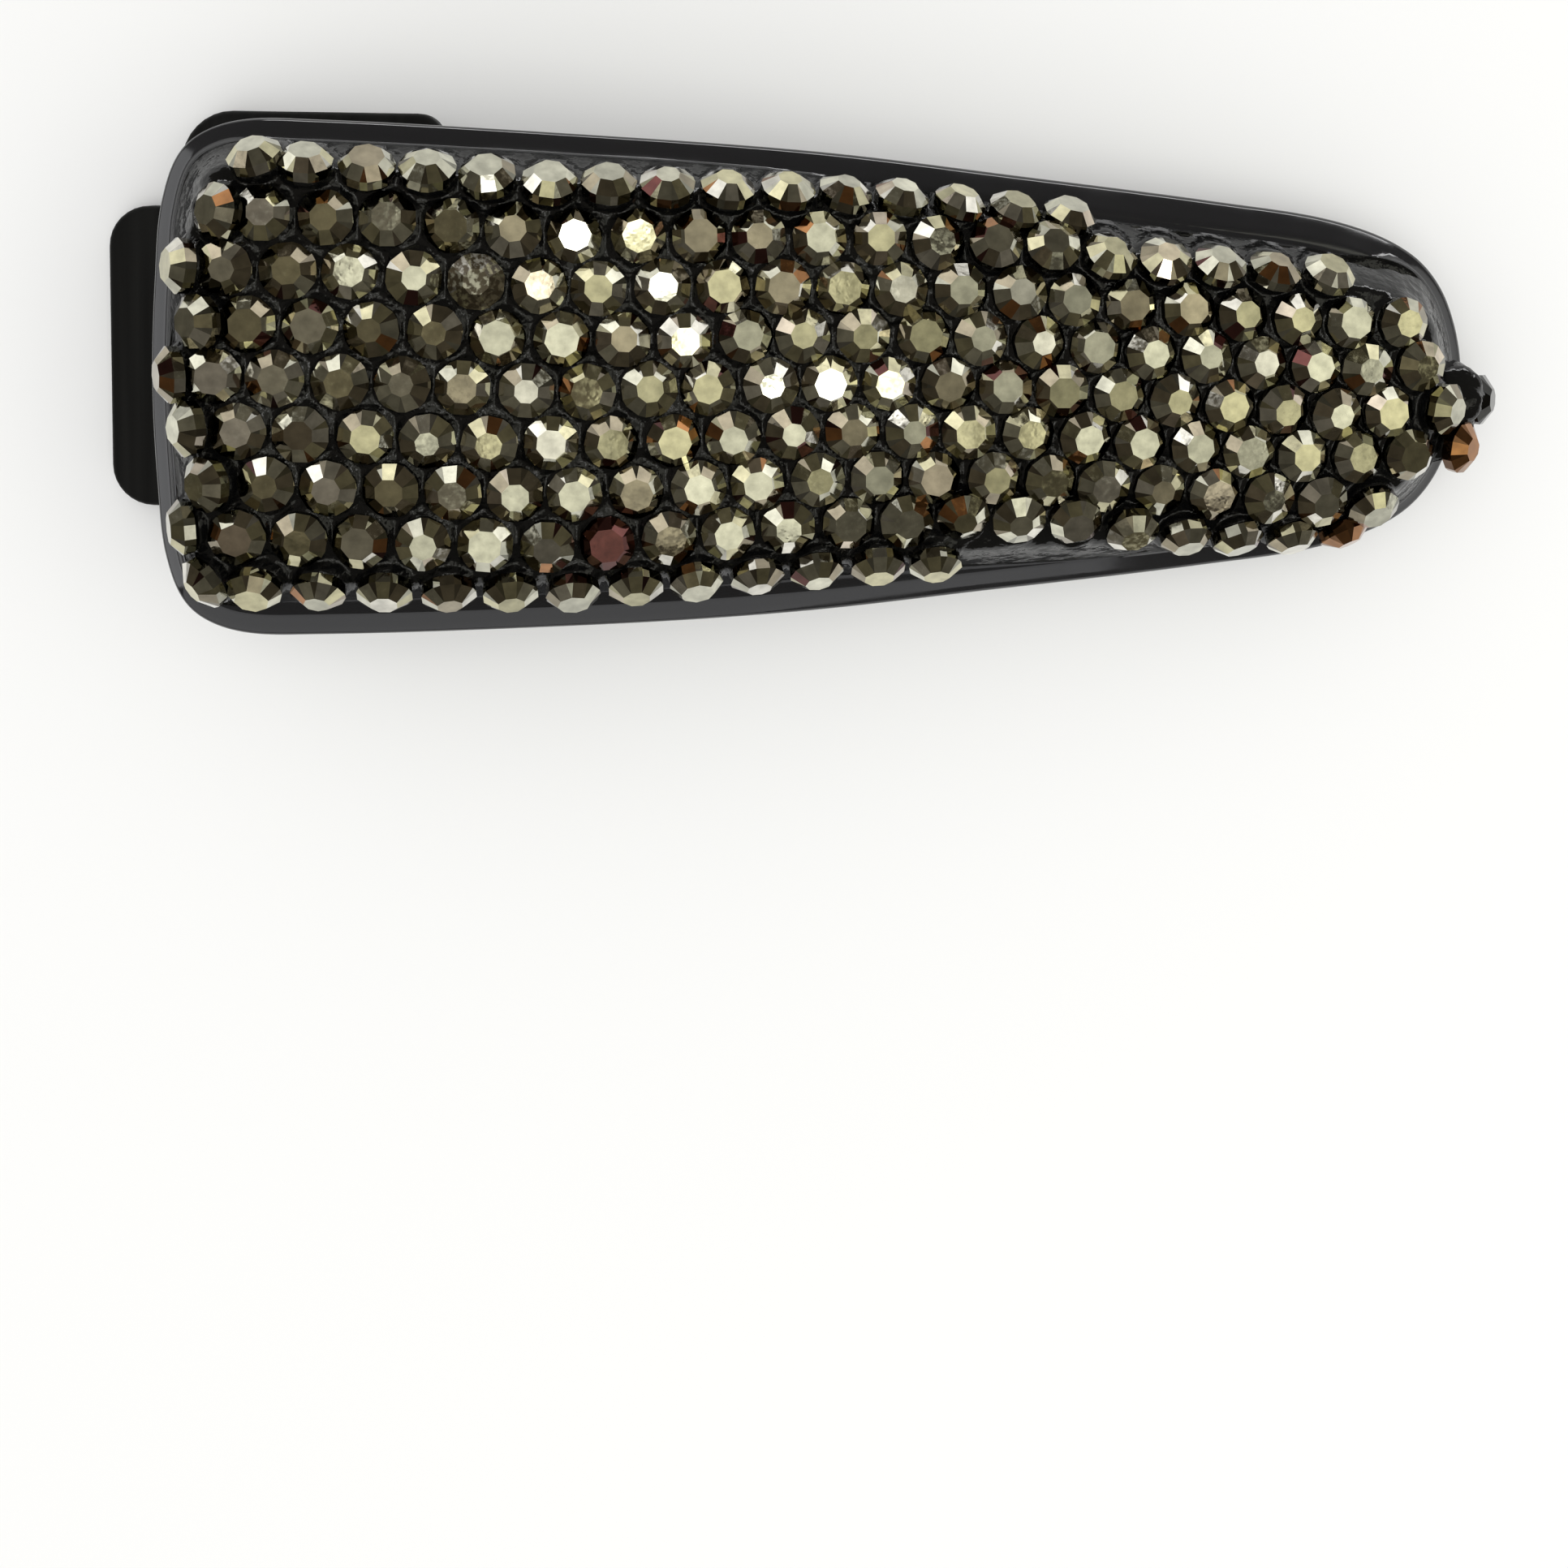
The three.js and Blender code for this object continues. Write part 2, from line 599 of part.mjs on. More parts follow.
function stoneRow(row) {
  const { edge, start, end, tip, pitch = STONE_PITCH } = ROWS[row];
  const stations = [edge];
  for (let place = 0, x = start; x <= end; x = start + pitch * place - PITCH_EASE * place * place) {
    stations.push(x);
    place += 1;
  }
  const frames = stations.map((x, place) => {
    const lean = place === 0 ? EDGE_LEAN : 0;
    return seat(x, acrossTo(x, rowReach(row, x)), STONE_RADIUS, lean);
  });
  if (tip !== undefined) frames.push(tipSeat(tip, rowReach(row, tip)));
  return stoneString(frames);
}

const glossBlack = { color: 0x0a0a0b, roughness: 0.12, metalness: 0 };
const matteBlack = { color: 0x101010, roughness: 0.6, metalness: 0 };
const steel = { color: 0xb4b6b8, roughness: 0.3, metalness: 1 };
const glue = { color: 0x08080a, roughness: 0.2, metalness: 0 };
const hematite = { color: 0x5c5a44, roughness: 0.1, metalness: 0.9 };

const clip = new THREE.Group();

function addPart(name, geometry, finish) {
  const mesh = new THREE.Mesh(geometry, new THREE.MeshStandardMaterial(finish));
  mesh.name = name;
  clip.add(mesh);
}

addPart('upper_arm', upperArm(), glossBlack);
addPart('lower_arm', lowerArm(), matteBlack);
addPart('hinge_pin', hingePin(), steel);
addPart('torsion_spring', torsionSpring(), steel);
addPart('glue_layer', glueLayer(), glue);
for (let row = 0; row < ROWS.length; row++) {
  addPart(`stone_row_${row + 1}`, stoneRow(row), hematite);
}

export default clip;
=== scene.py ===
import math
import random

import bmesh
import bpy
import numpy as np
from mathutils import Matrix, Vector, noise
from mathutils.geometry import delaunay_2d_cdt

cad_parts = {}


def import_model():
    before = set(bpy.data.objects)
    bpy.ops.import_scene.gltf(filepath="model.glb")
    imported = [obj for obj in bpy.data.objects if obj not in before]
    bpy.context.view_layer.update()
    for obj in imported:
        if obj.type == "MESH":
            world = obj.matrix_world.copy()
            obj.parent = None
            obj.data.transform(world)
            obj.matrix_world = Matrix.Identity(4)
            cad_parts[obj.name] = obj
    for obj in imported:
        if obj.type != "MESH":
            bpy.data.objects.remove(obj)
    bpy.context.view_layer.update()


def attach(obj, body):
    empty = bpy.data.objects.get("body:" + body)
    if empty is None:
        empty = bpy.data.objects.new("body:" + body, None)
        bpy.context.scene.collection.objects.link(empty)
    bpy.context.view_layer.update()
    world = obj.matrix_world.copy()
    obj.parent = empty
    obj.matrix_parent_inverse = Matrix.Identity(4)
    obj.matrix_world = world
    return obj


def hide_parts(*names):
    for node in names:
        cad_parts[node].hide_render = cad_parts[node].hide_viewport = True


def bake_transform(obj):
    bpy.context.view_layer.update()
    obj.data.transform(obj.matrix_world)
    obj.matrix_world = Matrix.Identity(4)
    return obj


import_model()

random.seed(7)
MM = 0.001
SLIVER = 1e-7  # metres; shorter edges are dissolved
BATCH = 4000  # points measured at a time

# Upper arm
SHELL_OUTLINE = [  # half of its plan, finger end to tip
    (-44.4, 0), (-44.2, 7), (-43.8, 12.3), (-42.4, 15.9), (-39.3, 17.6), (-34, 17.85), (-16, 17.25),
    (0.6, 16.4), (14.8, 15), (29.8, 13.4), (39, 12.1), (44.8, 9.8), (47.7, 6.2), (49, 0),
]
OUTLINE_STEPS = 11
PATH_STEPS = 12  # of the other curves
SPINE_FROM = -30  # the part of the centreline that the outline's inward rays run to
SPINE_TO = 37
SHELL_HEIGHT = 18.4
SHELL_SLOPE = 0.06
SHELL_ARCH = 0.00092
CROWN_BACK = 1.0
CROWN_TIP = 2.0
CROWN_SPAN = (-15, 15)  # the stretch of x over which the one passes into the other
CROWN_HALF = 15
FLANGE_END = 1.3  # the flange's width: finger end, each side from back to front, tip
FLANGE_LEFT = (1.4, 2.3)
FLANGE_RIGHT = (2.6, 1.6)
FLANGE_TIP = 1.0
FLANGE_END_SPAN = (-44, -36)  # stretches of x: end to sides, back to front on each side, sides to tip
FLANGE_LEFT_SPAN = (-10, 25)
FLANGE_RIGHT_SPAN = (0, 25)
FLANGE_TIP_SPAN = (38, 46)
BED_RISE = 2.6
SHOULDER = 2.3
WALL = 1.7
WALL_SHIFT = 1.5
RIM_DROP = 2.2
RIM_BEVEL = [  # the rim's soft bevel and rounded edge: inset and drop, from the flange outwards
    (1.7, 0), (1.6, 0.01), (1.5, 0.04), (1.35, 0.1), (0.8, 0.31), (0.25, 0.52), (0.12, 0.6),
    (0.03, 0.72), (0, 0.95),
]
RIM_ROUND = 0.35  # rounding of the rim's lower edge
RIM_LIP = 0.2  # chamfer inside it
MIN_SLANT = 0.5  # of an inward ray to the outline, so that no inset runs away
SEAM = 0.004  # points closer than this become one
FINE_SEAM = 0.002

# Lower arm
TAB_END = -52.5
TAB_HALF = 11.4
TAB_ROOT = -47
TAB_CORNER = 3.1
TAB_FILLET = 1
PAD_CORNER = 4
STEP_CORNER = 2
PAD_HALF = 18.6
PAD_END = -26.6
JAW_INSET = 2.6
JAW_STATIONS = [-25, -16, 0, 14, 28]
JAW_ROUND = 38
JAW_TIP = 46.4
JAW_TIP_POWER = 0.8  # fullness of the rounded tip's plan; 1 is an ellipse
ARM_THICK = 2
ARM_EDGE = 0.45  # edge rounding
ARM_STEP = 1.5  # spacing of the plan's points
ARM_GRID = 1.2  # spacing of the points inside it
ARM_UNDERSIDE = [
    (-60, 0), (-46, 0), (-34, 2.4), (-21, 5.1), (-3, 6.2), (18, 4.4), (30, 1.7), (38, 0), (48, 0),
]
TOOTH_PITCH = 4
TEETH_FROM = -10
TEETH_TO = 40
TOOTH_ROOT = (1.1, 0.8)
TOOTH_TOP = (0.35, 0.4)
TOOTH_POWER = 0.6  # squareness of the section; 1 is round
TOOTH_FOOT = [(-0.5, 1.3), (0.05, 1.25), (0.35, 1)]  # height over the arm, share of the root's size
TOOTH_CROWN = [(0.08, 0.75), (0, 0.3)]  # depth under the top, share of the top's size
TOOTH_CROWN_HEIGHT = 0.3
TOOTH_INSET = 0.9
TOOTH_GAP = 0.5

# Hinge and spring
HINGE_X = -21
HINGE_Z = 11.3
PIN_RADIUS = 1
PIN_HALF = 10.7
PIN_STRAIGHT = 10  # half of its plain length
PIN_SIDES = 40
PIN_DOME = 0.35
PIN_CLEARANCE = 0.06
EAR_RADIUS = 3
EAR_THICK = 2
EAR_BEVEL = 0.18
LOWER_EAR = 5.9
UPPER_EAR = 8.3
LOWER_EAR_ROOT = 4.2
UPPER_EAR_ROOT = 4.6
WIRE_RADIUS = 0.55
WIRE_SIDES = 14
WIRE_END = [(0.3, 0.45), (0.15, 0.85)]  # a rounded end: length past the leg and radius, in wire radii
COIL_RADIUS = 2.7
COIL_TURNS = 5.5
COIL_HALF = 3.6
LEG_REACH = 12.5
LEG_GAP = 0.9

# Stones
STONE_RADIUS = 1.85
TABLE_RADIUS = 1.0
STONE_HEIGHT = 1.5
GIRDLE_HEIGHT = 0.75
GIRDLE_HALF_ANGLE = 15  # degrees; half of a main facet's side on the girdle
FOOT_SHARE = 0.97  # the back's radius over the girdle's
STONE_SIZES = (1.0, 1.045)  # the spread of real stones
TABLE_SIZES = (0.82, 1.2)
STONE_PITCH = 4.08
PITCH_EASE = 0.0018
ROW_GAP_BACK = 3.55
ROW_GAP_TIP = 3.15
ROW_GAP_SPAN = (-30, 15)
SURFACE_REACH = 24  # how far from the centreline the surface is measured, and in what steps
SURFACE_STEP = 0.05
SEAT_REACH = 1.4
EDGE_LEAN = 0.35
MIDDLE_ROW = 4
MIDDLE_PATH = [
    (-60, 1.2), (-44, 1), (-30, 0.6), (-16, 0.05), (2, 0.75), (14, 0.5), (28, -0.6), (40, -1.35),
    (50, -0.8), (60, -0.8),
]
ROWS = [  # from +Y to -Y: the place of the stone on the finger end's shoulder, then the even run
    {"edge": -36.3, "start": -33.4, "end": 18.2, "pitch": 3.96, "shift": -0.3},
    {"edge": -38.6, "start": -36.1, "end": 39},
    {"edge": -40.7, "start": -38.5, "end": 45.8},
    {"edge": -39.8, "start": -37, "end": 46.6},
    {"edge": -41.4, "start": -39.2, "end": 45.8, "tip": 49.6},
    {"edge": -40.4, "start": -37.6, "end": 47.6},
    {"edge": -39.3, "start": -35.9, "end": 43},
    {"edge": -40.9, "start": -37.8, "end": 42},
    {"edge": -39.6, "start": -36.8, "end": 10, "pitch": 4.2, "shift": 0.3},
]
TIP_TILT = 60
TIP_STONE_Z = 4.6
SEAT_LIFT = 0.54  # bed to the back of a stone

# How border stones lie against the CAD's seats: a lean outwards in radians and a shift inwards,
# both negative on the -Y side
ROW_1_BORDER = (0.25, 0.45)
ROW_2_BORDER = (0.2, 0.5)  # beyond row 1's end
ROW_8_BORDER = (-0.25, -0.5)  # beyond row 9's end
ROW_9_BORDER = (-0.1, -0.15)
FIRST_BORDER = (0.2, 0.4)  # the first stones of rows 2 to 8, towards the finger end

# How far hand-set stones stray
HAND_TILT = 0.045  # radians, standard deviation
HAND_HEIGHT = (-0.04, 0.08)
HAND_ALONG = 0.1
HAND_ACROSS = 0.08

# Glue
GLUE_BASE = 0.38  # glue over the bed between stones
GLUE_RISE = 0.1  # how far it climbs a stone's side
GLUE_REACH = 0.12  # over what distance that climb dies away
GLUE_MARGIN = 0.05  # from the flange
GLUE_EDGE = 0.9  # width of its rounded edge
GLUE_LIMIT = 1.6  # how far from a stone its climb is worked out
GLUE_COLLAR = 0.98  # where the climb begins, in stone radii
COLLAR_LEVEL = 0.4  # a stone whose normal rises less than this has no collar
GLUE_LUMPS = (1.7, 0, 0.16)  # size, seed and height
GLUE_RIPPLES = (0.6, 9, 0.05)
LUMP_EDGE = 0.8
GLUE_SINK = 0.03  # its underside under the bed's surface
GLUE_STATIONS = 380
GLUE_CROWDING = 0.35  # how much closer the stations lie towards both ends
GLUE_COLUMNS = 104
GLUE_UNDER_COLUMNS = 13
TIP_GLUE = np.array([47.9, -0.7, 5.6])
TIP_GLUE_SIZE = np.array([2.5, 2.4, 1.9])
TIP_GLUE_RINGS = 18
TIP_GLUE_SIDES = 32
TIP_GLUE_SWELL = (0.22, 1.6)  # height and fineness
TIP_GLUE_RIPPLE = (0.07, 5)
TIP_GLUE_POLE = 0.02  # radians; what its two end faces span


# ---------------------------------------------------------------- shape functions, in millimetres

def ease(t):
    u = np.clip(t, 0, 1)
    return u * u * (3 - 2 * u)


def lerp(a, b, t):
    return a + (b - a) * t


def passed(x, span):
    """0 before a span of x, 1 past it, and a smooth rise between."""
    return ease((x - span[0]) / (span[1] - span[0]))


def unit(v):
    return v / np.linalg.norm(v)


def smooth_path(points, steps):
    """A smooth curve through points; the first and the last only set the end directions."""
    at = np.array(points, float)
    t = np.arange(steps) / steps
    near = ease(1 - t)
    path = []
    for i in range(1, len(at) - 2):
        chord = np.linalg.norm(at[i + 1] - at[i])
        leave = unit(at[i + 1] - at[i - 1]) * chord
        arrive = unit(at[i + 2] - at[i]) * chord
        run = np.outer(near, at[i]) + np.outer(1 - near, at[i + 1])
        path.append(run + np.outer(t * (1 - t) ** 2, leave) + np.outer(t * t * (t - 1), arrive))
    path.append(at[-2:-1])
    return np.vstack(path)


def mirrored(point):
    return (point[0], -point[1])


half_outline = smooth_path(
    [mirrored(SHELL_OUTLINE[1]), *SHELL_OUTLINE, mirrored(SHELL_OUTLINE[-2])], OUTLINE_STEPS
)
arm_underside = smooth_path(ARM_UNDERSIDE, PATH_STEPS)
middle_path = smooth_path(MIDDLE_PATH, PATH_STEPS)


def depth_inside(x, y):
    """How far points lie inside the shell's outline, whose halves are alike; negative outside it."""
    x, y = np.broadcast_arrays(np.asarray(x, float), np.abs(np.asarray(y, float)))
    points = np.stack([x.ravel(), y.ravel()], 1)
    start = half_outline[:-1]
    along = half_outline[1:] - start
    depths = []
    for few in np.array_split(points, len(points) // BATCH + 1):
        away = few[:, None] - start
        t = np.clip((away * along).sum(2) / (along**2).sum(1), 0, 1)
        distance = np.linalg.norm(away - t[..., None] * along, axis=2)
        side = np.sign(along[:, 1] * away[..., 0] - along[:, 0] * away[..., 1])
        nearest = distance.argmin(1)
        row = np.arange(len(few))
        depths.append(distance[row, nearest] * np.where(side[row, nearest] < 0, -1, 1))
    return np.concatenate(depths).reshape(x.shape)


def flange_width(x, y):
    """The flange's width beside a point; +Y is the clip's left side."""
    left = lerp(*FLANGE_LEFT, passed(x, FLANGE_LEFT_SPAN))
    right = lerp(*FLANGE_RIGHT, passed(x, FLANGE_RIGHT_SPAN))
    side = lerp(FLANGE_END, np.where(y >= 0, left, right), passed(x, FLANGE_END_SPAN))
    return lerp(side, FLANGE_TIP, passed(x, FLANGE_TIP_SPAN))


def flange_height(x, y):
    """The flange's height, arched lengthwise and crowned across."""
    u = x - SHELL_OUTLINE[0][0]
    base = SHELL_HEIGHT - SHELL_SLOPE * u - SHELL_ARCH * u * u
    return base - lerp(CROWN_BACK, CROWN_TIP, passed(x, CROWN_SPAN)) * (y / CROWN_HALF) ** 2


def shoulder(x, y, shift):
    """How far the bed has risen from the flange; shift moves the rise inwards."""
    return BED_RISE * ease((depth_inside(x, y) - flange_width(x, y) - shift) / SHOULDER)


def top_height(x, y):
    return flange_height(x, y) + shoulder(x, y, 0)


def under_height(x, y):
    return flange_height(x, y) - WALL + shoulder(x, y, WALL_SHIFT)


def arm_bottom(x):
    return np.interp(x, arm_underside[:, 0], arm_underside[:, 1])


def jaw_half(x):
    """Half of the jaw's width."""
    return np.interp(x, half_outline[:, 0], half_outline[:, 1]) - JAW_INSET


# ---------------------------------------------------------------- meshes

def make_mesh(name, points, faces, merge=0.0):
    """A piece from points in millimetres; points closer than merge become one."""
    mesh = bpy.data.meshes.new(name)
    mesh.from_pydata([tuple(p) for p in np.asarray(points, float) * MM], [], faces)
    piece = bpy.data.objects.new(name, mesh)
    bpy.context.scene.collection.objects.link(piece)
    if merge:
        bm = bmesh.new()
        bm.from_mesh(mesh)
        bmesh.ops.remove_doubles(bm, verts=bm.verts, dist=merge * MM)
        bmesh.ops.dissolve_degenerate(bm, edges=bm.edges, dist=SLIVER)
        bm.to_mesh(mesh)
        bm.free()
    mesh.validate()
    return piece


def bands(count, loops, wrap=False):
    """Quads that join loops of count points, each to the next, and the last to the first if wrap."""
    faces = []
    for r in range(loops if wrap else loops - 1):
        for i in range(count):
            a, b = r * count, ((r + 1) % loops) * count
            j = (i + 1) % count
            faces.append((a + i, a + j, b + j, b + i))
    return faces


def add_part(points, faces, more_points, more_faces):
    """Add a separate part to a piece's points and faces."""
    shift = len(points)
    points.extend(map(tuple, more_points))
    faces.extend(tuple(i + shift for i in face) for face in more_faces)


def closed_ends(count, total):
    """The two end faces of a stack of loops of count points, total points in all."""
    return [tuple(reversed(range(count))), tuple(range(total - count, total))]


def finish_piece(piece, material, slot, body, *nodes, smooth=True):
    """Give a piece its material, shading and body, and hide the nodes that it replaces; slot is not used.
    """
    piece.data.materials.append(material)
    piece.data.polygons.foreach_set("use_smooth", [smooth] * len(piece.data.polygons))
    if body:
        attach(piece, body)
    if nodes:
        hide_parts(*nodes)
    return piece


# The shell's outline as a full loop, with each point's inward ray to the spine.
other_half = half_outline[-2:0:-1] * (1, -1)
full_outline = np.vstack([half_outline, other_half])
side_of = np.concatenate([np.ones(len(half_outline)), -np.ones(len(other_half))])
spine = np.stack([np.clip(full_outline[:, 0], SPINE_FROM, SPINE_TO), np.zeros(len(full_outline))], 1)
tangent = np.roll(full_outline, -1, 0) - np.roll(full_outline, 1, 0)
inward = np.stack([tangent[:, 1], -tangent[:, 0]], 1)
inward /= np.linalg.norm(inward, axis=1)[:, None]
ray = spine - full_outline
reach = np.linalg.norm(ray, axis=1)
ray /= reach[:, None]
slant = np.maximum((ray * inward).sum(1), MIN_SLANT)


def inset_loop(depth, share=0.0):
    """The outline moved in by a depth, then by a share of the way to the spine."""
    start = np.minimum(depth / slant, reach)
    return full_outline + ray * lerp(start, reach, share)[:, None]


def lifted(loop, height):
    return np.column_stack([loop, height(loop[:, 0], loop[:, 1])])


def shell_piece():
    """The upper arm: loops from the bed's middle out over the rim and back in under the wall."""
    foot = flange_width(full_outline[:, 0], side_of)
    loops = [lifted(inset_loop(foot + SHOULDER, share), top_height) for share in (1, 0.8, 0.6, 0.4, 0.2)]
    loops += [lifted(inset_loop(foot + SHOULDER * share), top_height) for share in np.linspace(1, 0, 12)]
    loops.append(lifted(inset_loop((foot + np.minimum(foot, RIM_BEVEL[0][0])) / 2), flange_height))
    for inset, drop in RIM_BEVEL:
        edge = np.minimum(foot, inset)
        loops.append(lifted(inset_loop(edge), lambda x, y: flange_height(x, y) - drop))
    for angle in np.radians(np.linspace(0, 90, 4)):
        inset = RIM_ROUND * (1 - math.cos(angle))
        rise = RIM_ROUND * (1 - math.sin(angle))
        loops.append(lifted(inset_loop(inset), lambda x, y: flange_height(x, y) - RIM_DROP + rise))
    loops.append(lifted(inset_loop(WALL - RIM_LIP), lambda x, y: flange_height(x, y) - RIM_DROP))
    loops.append(lifted(inset_loop(WALL), lambda x, y: flange_height(x, y) - RIM_DROP + RIM_LIP))
    loops.append(lifted(inset_loop(WALL), lambda x, y: flange_height(x, y) - WALL))
    for share in np.linspace(0, 1, 7):
        loops.append(lifted(inset_loop(foot + WALL_SHIFT + SHOULDER * share), under_height))
    for share in (0.3, 0.6, 1):
        loops.append(lifted(inset_loop(foot + WALL_SHIFT + SHOULDER, share), under_height))
    points = [tuple(p) for p in np.vstack(loops)]
    faces = bands(len(full_outline), len(loops))
    root = float(under_height(HINGE_X, UPPER_EAR)) + WALL / 2
    for inner in (UPPER_EAR, -UPPER_EAR - EAR_THICK):
        add_part(points, faces, *hinge_ear(inner, root, UPPER_EAR_ROOT))
    return make_mesh("shell", points, faces, merge=SEAM)


def hinge_ear(inner, root, root_half):
    """A flat ear, round about the pin and flaring to its root, with the pin's hole through it.

    It spans EAR_THICK from inner towards +Y; root_half is half of its root's length.
    """
    up = math.copysign(1, root - HINGE_Z)
    around = [(math.cos(a), -up * math.sin(a)) for a in np.radians(np.linspace(0, 180, 25))]
    outer = [(HINGE_X + EAR_RADIUS * c, HINGE_Z + EAR_RADIUS * s) for c, s in around]
    sides = np.linspace(0, 1, 6)[1:]
    back, front = HINGE_X - EAR_RADIUS, HINGE_X + EAR_RADIUS
    root_back, root_front = HINGE_X - root_half, HINGE_X + root_half
    outer += [(lerp(back, root_back, t), lerp(HINGE_Z, root, t)) for t in sides]
    outer += [(lerp(root_back, root_front, t), root) for t in np.linspace(0, 1, 9)[1:]]
    outer += [(lerp(root_front, front, t), lerp(root, HINGE_Z, t)) for t in sides[:-1]]
    outer = np.array(outer)
    centre = np.array([HINGE_X, HINGE_Z])
    away = outer - centre
    away /= np.linalg.norm(away, axis=1)[:, None]
    hole = centre + away * (PIN_RADIUS + PIN_CLEARANCE)
    hole_edge = centre + away * (PIN_RADIUS + PIN_CLEARANCE + EAR_BEVEL)
    outer_edge = outer - away * EAR_BEVEL
    rings = [
        (hole, EAR_BEVEL), (hole_edge, 0), (outer_edge, 0), (outer, EAR_BEVEL),
        (outer, EAR_THICK - EAR_BEVEL), (outer_edge, EAR_THICK),
        (hole_edge, EAR_THICK), (hole, EAR_THICK - EAR_BEVEL),
    ]
    points = [(x, inner + y, z) for ring, y in rings for x, z in ring]
    faces = bands(len(outer), len(rings), wrap=True)
    return points, faces if up > 0 else [tuple(reversed(face)) for face in faces]


def arm_plan():
    """The lower arm's outline, from the finger tab round the jaw's tip and back."""
    side = [(TAB_END, 0.0)]

    def corner(x, y, radius, start, stop):
        for angle in np.radians(np.linspace(start, stop, 9)):
            side.append((x + radius * math.cos(angle), y + radius * math.sin(angle)))

    corner(TAB_END + TAB_CORNER, TAB_HALF - TAB_CORNER, TAB_CORNER, 180, 90)
    corner(TAB_ROOT - TAB_FILLET, TAB_HALF + TAB_FILLET, TAB_FILLET, -90, 0)
    corner(TAB_ROOT + PAD_CORNER, PAD_HALF - PAD_CORNER, PAD_CORNER, 180, 90)
    corner(PAD_END - STEP_CORNER, PAD_HALF - STEP_CORNER, STEP_CORNER, 90, 0)
    side += [(x, float(jaw_half(x))) for x in [*JAW_STATIONS, JAW_ROUND]]
    tip_half = float(jaw_half(JAW_ROUND))
    for k in range(1, 16):
        angle = k / 16 * math.pi / 2
        y = tip_half * math.cos(angle) ** JAW_TIP_POWER
        side.append((lerp(JAW_ROUND, JAW_TIP, math.sin(angle)), y))
    side.append((JAW_TIP, 0.0))
    plan = []
    for a, b in zip(side, side[1:]):
        pieces = max(1, round(math.dist(a, b) / ARM_STEP))
        plan += [(lerp(a[0], b[0], k / pieces), lerp(a[1], b[1], k / pieces)) for k in range(pieces)]
    plan.append(side[-1])
    return np.array(plan + [mirrored(p) for p in plan[-2:0:-1]])


def capped(loop, spacing):
    """Triangles that fill a closed plan loop, with points inside it on a grid."""
    points = [Vector(p) for p in loop]
    low, high = loop.min(0), loop.max(0)
    closed = np.vstack([loop, loop[:1]])
    for x in np.arange(low[0] + spacing / 2, high[0], spacing):
        crossings = []
        for (x0, y0), (x1, y1) in zip(closed, closed[1:]):
            if (x0 <= x) != (x1 <= x):
                crossings.append(lerp(y0, y1, (x - x0) / (x1 - x0)))
        for start, stop in zip(sorted(crossings)[::2], sorted(crossings)[1::2]):
            count = int((stop - start) / spacing)
            points += [Vector((x, lerp(start, stop, k / count))) for k in range(1, count)]
    inside_only, closeness = 1, 1e-5
    found = delaunay_2d_cdt(points, [], [list(range(len(loop)))], inside_only, closeness)
    return np.array([tuple(v) for v in found[0]]), [tuple(f) for f in found[2]]


def arm_piece():
    """The lower arm: a bent plate with rounded edges, two ears and the teeth."""
    plan = arm_plan()
    along = np.roll(plan, -1, 0) - np.roll(plan, 1, 0)
    outward = np.stack([-along[:, 1], along[:, 0]], 1)
    outward /= np.linalg.norm(outward, axis=1)[:, None]
    loops = []
    for angle in np.radians(np.linspace(0, 90, 6)):
        edge = plan - outward * ARM_EDGE * (1 - math.sin(angle))
        drop = ARM_EDGE * (1 - math.cos(angle))
        loops.append(np.column_stack([edge, arm_bottom(edge[:, 0]) + ARM_THICK - drop]))
    for angle in np.radians(np.linspace(90, 0, 6)):
        edge = plan - outward * ARM_EDGE * (1 - math.sin(angle))
        rise = ARM_EDGE * (1 - math.cos(angle))
        loops.append(np.column_stack([edge, arm_bottom(edge[:, 0]) + rise]))
    points = [tuple(p) for p in np.vstack(loops)]
    faces = bands(len(plan), len(loops))
    flat, triangles = capped(loops[0][:, :2], ARM_GRID)
    level = arm_bottom(flat[:, 0])
    add_part(points, faces, np.column_stack([flat, level + ARM_THICK]), triangles)
    add_part(points, faces, np.column_stack([flat, level]), [tuple(reversed(t)) for t in triangles])
    root = float(arm_bottom(HINGE_X)) + ARM_THICK / 2
    for inner in (LOWER_EAR, -LOWER_EAR - EAR_THICK):
        add_part(points, faces, *hinge_ear(inner, root, LOWER_EAR_ROOT))
    for x in np.arange(TEETH_FROM, TEETH_TO + 0.1, TOOTH_PITCH):
        for side in (1, -1):
            add_part(points, faces, *tooth(x, side))
    return make_mesh("arm", points, faces, merge=SEAM)


def tooth(x, side):
    """A tapering tooth of rounded-square section with a rounded top."""
    y = side * (float(jaw_half(x)) - TOOTH_INSET)
    root = float(arm_bottom(x)) + ARM_THICK
    top = float(under_height(x, y)) - TOOTH_GAP
    around = np.radians(np.arange(0, 360, 22.5))
    square = np.stack([np.sign(np.cos(around)) * np.abs(np.cos(around)) ** TOOTH_POWER,
                       np.sign(np.sin(around)) * np.abs(np.sin(around)) ** TOOTH_POWER], 1)
    wide, fine = np.array(TOOTH_ROOT), np.array(TOOTH_TOP)
    sections = [(root + rise, wide * share) for rise, share in TOOTH_FOOT]
    low, high = root + TOOTH_FOOT[-1][0], top - TOOTH_CROWN_HEIGHT
    sections += [(lerp(low, high, t), lerp(wide, fine, t)) for t in (0.35, 0.7, 1)]
    sections += [(top - drop, fine * share) for drop, share in TOOTH_CROWN]
    points = [(x + u * size[0], y + v * size[1], z) for z, size in sections for u, v in square]
    faces = bands(len(square), len(sections)) + closed_ends(len(square), len(points))
    return points, faces


